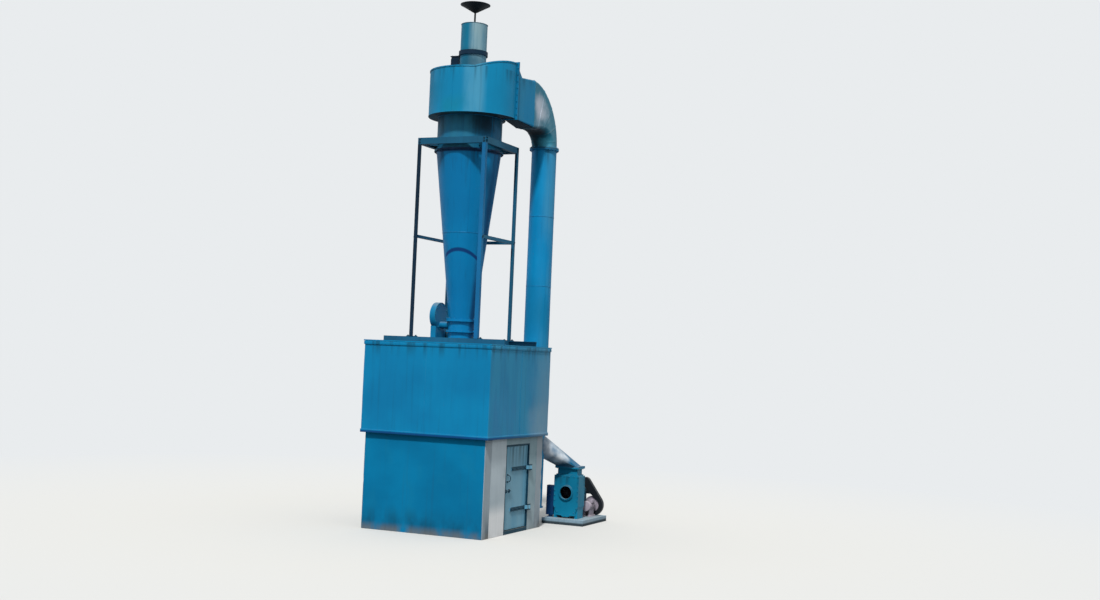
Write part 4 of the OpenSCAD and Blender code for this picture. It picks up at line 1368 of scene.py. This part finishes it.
@dataclass
class ScrollHead:
    """Spiral head with its folded roof, outlet stack, vent box and rain cap.

    Attributes:
        foot: Height of the floor of the head.
        level: Height of the level part of the roof.
        fold: Where the roof starts to rise, right of the axis.
        slope: Rise of the roof to the right of the fold, in metres per metre.
        largest: Largest radius of the spiral wall.
        step: Loss of radius at each quarter turn.
        pipe: Outer radius of the stack.
        mouth: Height of the top of the stack.
    """

    foot: float = 7.05
    level: float = 7.835
    fold: float = 0.4
    slope: float = 0.38
    largest: float = 0.8
    step: float = 0.06
    pipe: float = 0.228
    mouth: float = 8.71

    def outline(self) -> list[Point]:
        """Plan of the spiral wall from the inlet round to the tongue, just outside it.

        Returns:
            Points on the ground.
        """
        c = self.step / 2
        found: list[Point] = []
        middles = ((c, c), (c, -c), (-c, -c), (-c, c))
        quarters = zip(middles, ((0, -90), (270, 180), (180, 90), (90, 2)))
        for lost, ((x, y), arc) in enumerate(quarters):
            found += ring_points((x, y, 0), self.largest - lost * self.step + 0.001, 26, arc)
        return found

    def roof(self, x: float) -> float:
        """Height of the middle of the roof plate."""
        return self.level + self.slope * max(0.0, x - self.fold)

    def build(self) -> None:
        """Dress the head and add its welds, hems and bolts."""
        paint(HEAD_BLUE, "scroll_shell", "scroll_roof")
        self.seams()
        self.stack()
        self.vent()
        self.cap()

    def seams(self) -> None:
        """Welds along the foot and the roof, and upright seams where the sheets meet."""
        plan = self.outline()
        beads = [
            weld([(x, y, self.foot + 0.004) for x, y, _ in plan], 0.005, seed=5),
            weld([(x, y, self.roof(x) - 0.017) for x, y, _ in plan], 0.006, seed=6),
        ]
        c = self.step / 2
        uprights = ((c, c - self.largest), (3 * c - self.largest, -c), (-c, 0.65))
        for k, (x, y) in enumerate(uprights):
            upright = line_points((x, y, self.foot), (x, y, self.roof(x) - 0.02))
            beads.append(weld(upright, 0.0045, seed=k + 7))
        ring = ring_points((0, 0, 0), self.pipe + 0.002)
        beads.append(weld([(x, y, self.roof(x) + 0.009) for x, y, _ in ring], 0.006, True, 11))
        dress("head_welds", beads, HEAD_BLUE)

    def stack(self) -> None:
        """Stack with a rolled rim, a butt seam and a clamped collar."""
        paint(STACK_BLUE, "outlet_stack")
        paint(COLLAR_NAVY, "stack_collar")
        middle = (0, 0, self.mouth - 0.005)
        rim = hoop(middle, self.pipe + 0.001, 0.006, (72, 10))
        with editing(rim, Elements.FACES):
            pick(rim, lambda middle, way: way.z > 0.7)
            bpy.ops.transform.resize(value=(1.0, 1.0, 0.6), center_override=middle)
        seam = weld(line_points((0.1, -0.2049, 8.24), (0.1, -0.2049, 8.685)), 0.003)
        dress("stack_rolled_rim", [rim, seam], STACK_BLUE)
        spots = [stand((k * 0.0225, 0.27, z), (k, 0, 0)) for k in SIDES for z in (8.175, 8.21)]
        dress("stack_collar_bolts", [bolts(BoltSize.M10, spots)], COLLAR_NAVY)

    def vent(self) -> None:
        """Sunk panels and bolts of the small vent box."""
        paint(COLLAR_NAVY, "pressure_vent")
        low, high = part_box("pressure_vent")
        panel = block(low + Vector((0.009, 0.009, 0.06)), high - Vector((0.009, 0.009, 0.05)))
        with editing(panel, Elements.FACES):
            pick(panel, lambda middle, way: abs(way.z) < 0.1)
            dish(0.014, -0.004, use_individual=True)
        dress("vent_box_panels", [panel], COLLAR_NAVY)
        x, y = ((low + high) / 2).xy
        spots = [stand((x + sx * 0.06, y + sy * 0.06, high.z - 0.002)) for sx, sy in CORNERS]
        dress("vent_box_bolts", [bolts(BoltSize.M10, spots)], COLLAR_NAVY)

    def cap(self) -> None:
        """Rain cap with a rolled hem and folded radial seams."""
        paint(CAP_BLACK, "rain_cap", "cap_stalk")
        low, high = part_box("rain_cap")
        brim, hem, seams = low.z + 0.135, 0.006, 8
        parts = [hoop((0, 0, brim), high.x - hem, hem, (72, 8))]
        for k in range(seams):
            way = math.tau * (k + 0.4) / seams
            inner = polar(0.03, way)
            below = line_points((*inner, low.z + 0.002), (*polar(0.255, way), brim - 0.004))
            above = line_points((*inner, high.z - 0.004), (*polar(0.25, way), brim + 0.003))
            parts += [weld(below, 0.003, seed=k), weld(above, 0.003, seed=k + 20)]
        dress("cap_hem_and_seams", parts, CAP_BLACK)


@dataclass
class InletDuct:
    """Transition, elbow, riser and the duct from the blower.

    Attributes:
        riser: Position of the riser pipe.
        bore: Outer radius of the riser.
        start: Middle of the elbow's rectangular end.
        half: Half width and half height of that end.
        joint: Height of the joint between riser and elbow.
    """

    riser: Pair = (0.78, 1.44)
    bore: float = 0.225
    start: Point = (0.757, 0.6, 7.4025)
    half: Pair = (0.184, 0.4175)
    joint: float = 6.73

    def section(self, turn: float) -> list[Point]:
        """Points just outside the elbow where it has turned by this share of a right angle.

        Args:
            turn: Share of the turn, from 0 to 1.

        Returns:
            Points of the section.
        """
        phi, grow = turn * math.pi / 2, 0.001
        share = turn * turn * (3 - 2 * turn)
        x = self.start[0] + (self.riser[0] - self.start[0]) * share
        y = self.start[1] + (self.riser[1] - self.start[1]) * math.sin(phi)
        z = self.joint + (self.start[2] - self.joint) * math.cos(phi)
        half_w, half_h = (half + (self.bore - half) * share + grow for half in self.half)
        corner = 0.04 + (self.bore - 0.0405) * share + grow
        found = []
        for quarter, (sx, sy) in enumerate(((1, 1), (-1, 1), (-1, -1), (1, -1))):
            for k in range(9):
                dx, dy = polar(corner, math.pi / 2 * (quarter + k / 8))
                across, out = sx * (half_w - corner) + dx, sy * (half_h - corner) + dy
                found.append((x + across, y + out * math.sin(phi), z + out * math.cos(phi)))
        return found

    def build(self) -> None:
        """Dress the ducts and add their flanges' bolts and their seams."""
        paint(INLET_BLUE, "inlet_transition")
        paint(ELBOW_BLUE, "duct_elbow")
        paint(DUCT_BLUE, "riser_duct")
        paint(FEED_BLUE, "connecting_duct")
        turns = (0.0, 0.22, 0.44, 0.66, 0.86)
        beads = [weld(self.section(turn), 0.004, True, int(turn * 10)) for turn in turns]
        dress("elbow_segment_welds", beads, ELBOW_BLUE)
        self.riser_fittings()
        self.inlet_bolts()

    def riser_fittings(self) -> None:
        """Bolts of the riser's top flange, the seams of its lengths, and its foot."""
        x, y = self.riser
        plate, out = 0.022, 0.022
        spots = [
            spot
            for way in SIDES
            for spot in ring_of((x, y, self.joint + way * plate), self.bore + out, 16, way * Z)
        ]
        dress("riser_flange_bolts", [bolts(BoltSize.M12, spots)], DUCT_BLUE)
        beads = [
            weld(ring_points((x, y, z), self.bore + 0.001, 96), 0.004, True, int(z))
            for z in (5.5, 4.25, 3.0)
        ]
        dx, dy = polar(self.bore, math.radians(-35))
        seam = line_points((x + dx, y + dy, 0.35), (x + dx, y + dy, self.joint - 0.03))
        dress("riser_welds", [*beads, weld(seam, 0.003)], DUCT_BLUE)
        rib = block((x - 0.11, y - 0.005, plate), (x + 0.11, y + 0.005, 0.26))
        bevel(rib, Elements.EDGES, along(Y, lambda middle: middle.z > 0.2), 0.035)
        dress("riser_foot_ribs", [rib], DUCT_BLUE)
        spots = [stand((x + sx * 0.095, y + sy * 0.095, plate)) for sx, sy in CORNERS]
        dress("riser_foot_bolts", [bolts(BoltSize.M16, spots)], DARK_STEEL)

    def inlet_bolts(self) -> None:
        """Bolts of the rectangular flange on the mouth of the head."""
        left, right, front, back = 0.571, 0.851, 0.06, 0.082
        lowest, pitch = 7.12, 0.115
        spots = [
            stand((x, y, lowest + pitch * k), (0, way, 0))
            for k in range(8)
            for x, y, way in ((right, front, -1), (right, back, 1), (left, back, 1))
        ]
        dress("inlet_flange_bolts", [bolts(BoltSize.M10, spots)], INLET_BLUE)


@dataclass
class DriveBelts:
    """Three V-belts side by side round the two pulleys.

    Attributes:
        small: Centre of the fan pulley, across and up.
        large: Centre of the motor pulley, across and up.
        plane: Distance of the belt plane behind the axis.
        radii: Radii of the fan pulley and the motor pulley, to the back of the belts.
        width: Width of one belt.
        depth: Thickness of one belt.
    """

    small: Pair
    large: Pair
    plane: float
    radii: Pair = (0.075, 0.17)
    width: float = 0.013
    depth: float = 0.012

    def loop(self) -> list[Pair]:
        """Outline of the belt run round both pulleys.

        Returns:
            Points across and up.
        """
        (x0, z0), (x1, z1) = self.small, self.large
        r0, r1 = self.radii
        line = math.atan2(z1 - z0, x1 - x0)
        lean = math.acos((r0 - r1) / math.hypot(x1 - x0, z1 - z0))
        arcs = ((x0, z0, r0, line + lean, math.tau - 2 * lean), (x1, z1, r1, line - lean, 2 * lean))
        found, steps = [], 28
        for x, z, radius, first, arc in arcs:
            spots = [polar(radius, first + arc * k / steps) for k in range(steps + 1)]
            found += [(x + dx, z + dz) for dx, dz in spots]
        return found

    def belt(self, offset: float) -> Piece:
        """Model one closed belt with bevelled edges.

        Args:
            offset: Place of the belt's middle, behind the belt plane.

        Returns:
            The belt.
        """
        line = self.loop()
        piece = start(Shape.CIRCLE, vertices=len(line), radius=0.1, fill_type="NOTHING")
        near = self.plane + offset - self.width / 2
        for point, (x, z) in zip(piece.data.vertices, line):
            point.co = (x, near, z)
        with editing(piece, Elements.EDGES):
            bpy.ops.mesh.select_all(action="SELECT")
            extrude((0, self.width, 0))
        face_outwards(piece)
        modify(piece, "SOLIDIFY", thickness=self.depth, offset=1.0)
        face_outwards(piece)
        modify(piece, "BEVEL", width=0.0015, segments=1, limit_method="ANGLE", angle_limit=0.9)
        return piece

    def build(self) -> None:
        """Make the set of belts."""
        belts = [self.belt(offset) for offset in BELT_OFFSETS]
        dress("v_belt_set", belts, RUBBER, stands_for=("drive_belt",))


@dataclass
class Blower:
    """Blower set on its skid, and the drive beside the dust outlet.

    Attributes:
        shaft: Position of the fan shaft, across and up.
        front: Distance of the casing's front plate behind the axis.
        depth: Depth of the casing.
        motor: Position of the motor shaft, across and up.
        drive: Distance of the belt plane behind the axis.
        pulley: Radius of the motor pulley.
        guard: Middle of the round drive guard, across and up.
    """

    shaft: Pair = (1.29, 0.56)
    front: float = 1.9
    depth: float = 0.29
    motor: Pair = (1.475, 0.29)
    drive: float = 2.78
    pulley: float = 0.165
    guard: Pair = (-0.45, 3.62)

    def build(self) -> None:
        """Dress the blower set and add its fittings."""
        paint(FAN_BLUE, "fan_casing")
        paint(INLET_BLUE, "valve_guard")
        paint(DARK_STEEL, "bearing_pedestal", "valve_gearmotor")
        paint(STARTER_NAVY, "starter_box")
        paint(SOOT_AND_SHADE_BLACK, "fan_wheel")
        paint(CAP_BLACK, "belt_guard")
        paint(SKID_PALE, "fan_skid")
        self.casing_bolts()
        self.inlet()
        self.motor_unit()
        self.fan_pulley()
        self.starter()
        self.guard_rims()
        DriveBelts(self.shaft, self.motor, self.drive).build()

    def casing_bolts(self) -> None:
        """Bolts along the edges of the casing's plates and under its outlet flange."""
        x, y = self.shaft[0], self.front
        reach, bend, top = 0.223, 0.36, 0.848
        spots = []
        for face, way in ((y, -1), (y + self.depth, 1)):
            rim = [(side * reach, 0.42 + 0.085 * k) for side in SIDES for k in range(6)]
            rim += [(-0.15 + 0.1 * k, top) for k in range(4)]
            foot = [polar(reach, math.radians(200 + 23.3 * k)) for k in range(7)]
            rim += [(dx, bend + dz) for dx, dz in foot]
            spots += [stand((x + dx, face, z), (0, way, 0)) for dx, z in rim]
        for side, dy in product(SIDES, (0.045, 0.145, 0.245)):
            spots.append(stand((x + side * 0.21, y + dy, 0.993), -Z))
        dress("fan_casing_bolts", [bolts(BoltSize.M10, spots)], FAN_BLUE)

    def inlet(self) -> None:
        """Bell mouth and wire guard of the casing."""
        (x, z), y, reach = self.shaft, self.front, 0.12
        dress("fan_bell_mouth", [hoop((x, y - 0.026, z), reach, 0.008, (56, 12), LYING)], FAN_BLUE)
        wires = [hoop((x, y - 0.016, z), r, 0.002, (36, 6), LYING) for r in (0.04, 0.08)]
        for k in range(4):
            dx, dz = polar(reach, math.pi * k / 4)
            ends = (x - dx, y - 0.013, z - dz), (x + dx, y - 0.013, z + dz)
            wires.append(weld(line_points(*ends, 0.06), 0.002))
        dress("fan_inlet_wires", wires, SOOT_AND_SHADE_BLACK)

    @property
    def bell(self) -> float:
        """Distance of the motor's end bell behind the axis."""
        return self.drive - 0.063

    def motor_unit(self) -> None:
        """Foot mounted motor with its cowl, terminal box, shaft and pulley."""
        x, z = self.motor
        parts = [self.motor_body(), self.cowl(), *self.motor_feet(), self.terminal_box()]
        shaft = rod((x, self.drive - 0.02, z), 0.019, 0.12, 20)
        bevel(shaft, Elements.FACES, facing(Y), 0.003)
        parts += [shaft, self.grooved()]
        dress("fan_motor_unit", parts, MOTOR_GREY, stands_for=("fan_motor",))

    def motor_body(self) -> Piece:
        """Model the motor's shell with cooling fins and a stepped end bell.

        Returns:
            The shell.
        """
        x, z = self.motor
        strips, fin = 56, 0.012
        body = rod((x, self.bell - 0.147, z), 0.082, 0.21, strips)
        with editing(body, Elements.FACES):
            # Every second strip of the shell stands out as a fin.
            pick(
                body,
                lambda middle, way: abs(way.y) < 0.5
                and int(math.atan2(way.z, way.x) * strips / math.tau + 200.501) % 2 == 0,
            )
            bpy.ops.mesh.extrude_region_shrink_fatten(TRANSFORM_OT_shrink_fatten={"value": fin})
            pick(body, lambda middle, way: way.y > SAME_WAY and abs(middle.x - x) < 0.01)
            bpy.ops.mesh.inset(thickness=fin)
            extrude((0, 0.042, 0))
            step_in(0.03, (0, 0.008, 0))
        return body

    def cowl(self) -> Piece:
        """Model the motor's cowl, with three round grooves in its face.

        Returns:
            The cowl.
        """
        x, z = self.motor
        width, groove = 0.012, 0.004
        cowl = rod((x, self.bell - 0.2775, z), 0.094, 0.085, 40)
        bevel(cowl, Elements.FACES, facing(-Y), width, 3)
        with editing(cowl, Elements.FACES):
            pick(cowl, facing(-Y))
            for _ in range(3):
                step_in(width, (0, groove, 0))
                step_in(width, (0, -groove, 0))
        return cowl

    def motor_feet(self) -> list[Piece]:
        """Model the two feet of the motor and the webs that carry the shell on them.

        Returns:
            Foot and web of each side.
        """
        x, y, parts = self.motor[0], self.bell, []
        for side in SIDES:
            at, half = x + side * 0.062, 0.03
            foot = block((at - half, y - 0.272, 0.1), (at + half, y - 0.037, 0.125))
            bevel(foot, Elements.EDGES, along(Z), 0.01, 2)
            at, half = x + side * 0.052, 0.008
            web = block((at - half, y - 0.257, 0.11), (at + half, y - 0.052, 0.24))
            parts += [foot, web]
        return parts

    def terminal_box(self) -> Piece:
        """Model the terminal box with its sunk lid.

        Returns:
            The box.
        """
        (x, z), y = self.motor, self.bell
        box = block((x + 0.03, y - 0.227, z + 0.058), (x + 0.093, y - 0.107, z + 0.114))
        with editing(box, Elements.FACES):
            pick(box, facing(Z))
            bpy.ops.mesh.inset(thickness=0.006)
            extrude((0, 0, -0.003))
        modify(box, "BEVEL", width=0.003, segments=2, limit_method="ANGLE")
        return box

    def grooved(self) -> Piece:
        """Model the motor's pulley with three grooves and a dished web.

        Returns:
            The pulley.
        """
        (x, z), radius = self.motor, self.pulley
        width, groove, near = 0.052, 0.008, 0.005
        wheel = rod((x, self.drive, z), radius, width, 56)
        share = (radius - groove) / radius
        with editing(wheel, Elements.EDGES):
            pick(wheel, along(Y))
            bpy.ops.mesh.subdivide(number_cuts=12)
            for y in (self.drive + offset for offset in BELT_OFFSETS):
                pick(wheel, lambda mid, way, y=y: abs(way.y) < 0.1 and abs(mid.y - y) < 0.0035)
                bpy.ops.transform.resize(value=(share, 1, share), center_override=(x, y, z))
        with editing(wheel, Elements.FACES):
            pick(wheel, along(Y, lambda mid: abs(mid.x - x) < near and abs(mid.z - z) < near))
            dish(radius * 0.18, -0.014)
            dish(radius * 0.4, 0.012)
        return wheel

    def fan_pulley(self) -> None:
        """Flanges of the fan pulley outside the belts, and the bolts of the bearing caps."""
        x, z = self.shaft
        cheeks = [rod((x, self.drive + dy, z), 0.086, 0.004, 40) for dy in (-0.026, 0.026)]
        for cheek in cheeks:
            with editing(cheek, Elements.FACES):
                pick(cheek, along(Y))
                dish(0.02, -0.001)
        dress("fan_pulley_cheeks", cheeks, DARK_STEEL)
        spots = [stand((x + dx, y, 0.54)) for y in (2.285, 2.682) for dx in (-0.06, 0.06)]
        dress("bearing_cap_bolts", [bolts(BoltSize.M12, spots)], DARK_STEEL)

    def starter(self) -> None:
        """Door and knobs of the starter box."""
        low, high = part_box("starter_box")
        face = low.y + 0.005
        parts = [block((low.x + 0.012, face - 0.004, 0.16), (high.x - 0.012, face + 0.01, 0.65))]
        x = (low.x + high.x) / 2
        parts += [rod((x, face - 0.006, z), 0.014, 0.02, 20) for z in (0.56, 0.49)]
        for part in parts:
            bevel(part, Elements.FACES, facing(-Y), 0.004, 2)
        dress("starter_box_door", parts, STARTER_NAVY)

    def guard_rims(self) -> None:
        """Rolled rims and bolts of the round drive guard beside the dust outlet."""
        (x, z), rim, wire = self.guard, 0.229, 0.007
        parts = [hoop((x + k * 0.047, 0, z), rim, wire, (64, 8), SIDEWAYS) for k in SIDES]
        for way in (1, -1):
            spots = ring_of((x + way * 0.05, 0, z), 0.205, 10, (way, 0, 0), 0.2)
            parts.append(bolts(BoltSize.M10, spots))
        dress("guard_rims_and_bolts", parts, FAN_BLUE)


# ---------------------------------------------------------------- studio


@dataclass(frozen=True)
class Studio:
    """Pale floor, soft light and the camera at the photograph's angle.

    Attributes:
        backdrop: Colour that the camera sees behind the part, as an sRGB hex value.
        floor: Colour of the floor near the part.
        bounce: Colour that the floor shows to everything but the camera.
        sky: Colour of the even light from all round.
        fill: Strength of that light.
        key: Strength of the soft key light.
        key_azimuth: Direction of the key light, in degrees from the front towards the right.
        key_height: Height of the key light above the horizon, in degrees.
        eye: Place of the camera.
        turn: Yaw, pitch and roll of the camera, in degrees.
        zoom: Focal length over the width of the frame.
    """

    backdrop: str = "E9ECEE"
    floor: str = "D2D0CB"
    bounce: str = "5A5C5E"
    sky: str = "EEF3F7"
    fill: float = 0.7
    key: float = 2.9
    key_azimuth: float = 14.0
    key_height: float = 54.0
    eye: Point = (10.89, -20.87, 2.93)
    turn: Point = (23.87, 2.54, 2.41)
    zoom: float = 1361 / 1100

    def build(self) -> None:
        """Set up floor, light and camera."""
        self.ground()
        self.light()
        self.camera()
        bpy.context.scene.view_settings.view_transform = "Standard"

    @staticmethod
    def seen(add: Callable[..., Socket]) -> Socket:
        """Tell the rays that show the backdrop from those that only carry light.

        Args:
            add: Adds a node to the tree of the floor or the world.

        Returns:
            1 for what the camera, a gloss or a clear pane shows, and 0 for the rest.
        """
        names = ("Is Camera Ray", "Is Glossy Ray", "Is Transmission Ray")
        rays = [add("LightPath", out=name) for name in names]
        return reduce(lambda a, b: add("Math", {0: a, 1: b}, operation="MAXIMUM"), rays)

    def ground(self) -> None:
        """Floor that fades into the backdrop away from the part."""
        floor = start(Shape.CIRCLE, vertices=96, radius=90.0, fill_type="NGON")
        floor.name = floor.data.name = "studio_floor"
        made = bpy.data.materials.new("studio_floor")
        add = fresh_tree(made)
        where = add("TexCoord", out="Object")
        reach = add("VectorMath", {0: where}, out="Value", operation="LENGTH")
        seen = self.seen(add)
        far = add("MapRange", {0: reach, 1: 5.0, 2: 16.0, 3: 0.0, 4: seen})
        tones = {0: seen, 6: linear(self.bounce), 7: linear(self.floor)}
        matt = add("BsdfDiffuse", {0: add("Mix", tones, out=2, data_type="RGBA")})
        plain = add("Emission", {0: linear(self.backdrop), 1: 1.0})
        add("OutputMaterial", {0: add("MixShader", {0: far, 1: matt, 2: plain})})
        floor.data.materials.append(made)

    def light(self) -> None:
        """Even world light, the pale backdrop for what is seen, and one soft key."""
        world = bpy.data.worlds.new("studio")
        add = fresh_tree(world)
        even = add("Background", {0: linear(self.sky), 1: self.fill})
        pale = add("Background", {0: linear(self.backdrop), 1: 1.0})
        add("OutputWorld", {0: add("MixShader", {0: self.seen(add), 1: even, 2: pale})})
        bpy.context.scene.world = world
        lamp = bpy.data.lights.new("key", "SUN")
        lamp.energy = self.key
        lamp.angle = math.radians(5)
        level, rise = polar(1.0, math.radians(self.key_height))
        ahead, right = polar(level, math.radians(self.key_azimuth))
        towards = Vector((right, -ahead, rise))
        self.place("key", lamp, stand(towards * 30, towards))

    def camera(self) -> None:
        """Camera that was fitted to the photograph."""
        yaw, pitch, roll = (math.radians(v) for v in self.turn)
        level, rise = polar(1.0, pitch)
        ahead = Vector((-math.sin(yaw) * level, math.cos(yaw) * level, rise))
        right = Vector((*polar(1.0, yaw), 0.0))
        above = right.cross(ahead)
        axis_x = math.cos(roll) * right + math.sin(roll) * above
        axis_y = math.cos(roll) * above - math.sin(roll) * right
        lens = bpy.data.cameras.new("camera")
        lens.sensor_fit = "HORIZONTAL"
        lens.sensor_width = 36.0
        lens.lens = lens.sensor_width * self.zoom
        lens.clip_end = 300.0
        turn = Matrix((axis_x, axis_y, -ahead)).transposed().to_4x4()
        view = Matrix.Translation(self.eye) @ turn
        bpy.context.scene.camera = self.place("camera", lens, view)

    @staticmethod
    def place(name: str, data: bpy.types.ID, matrix: Matrix) -> Piece:
        """Stand a lamp or a camera in the scene.

        Args:
            name: Name of the object.
            data: The lamp or the camera.
            matrix: Its place and turn.

        Returns:
            The object that holds it.
        """
        holder = bpy.data.objects.new(name, data)
        bpy.context.scene.collection.objects.link(holder)
        holder.matrix_world = matrix
        return holder


def main() -> None:
    """Build the studio and every sub-assembly in order."""
    logging.basicConfig(level=logging.INFO, format="%(name)s %(message)s")
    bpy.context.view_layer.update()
    Studio().build()
    kinds = (Chamber, AccessDoor, StorageBin, SupportFrame, CycloneBody, ScrollHead, InletDuct)
    for kind in (*kinds, Blower):
        LOG.info("building %s", kind.__name__)
        kind().build()


if __name__ == "__main__":
    main()
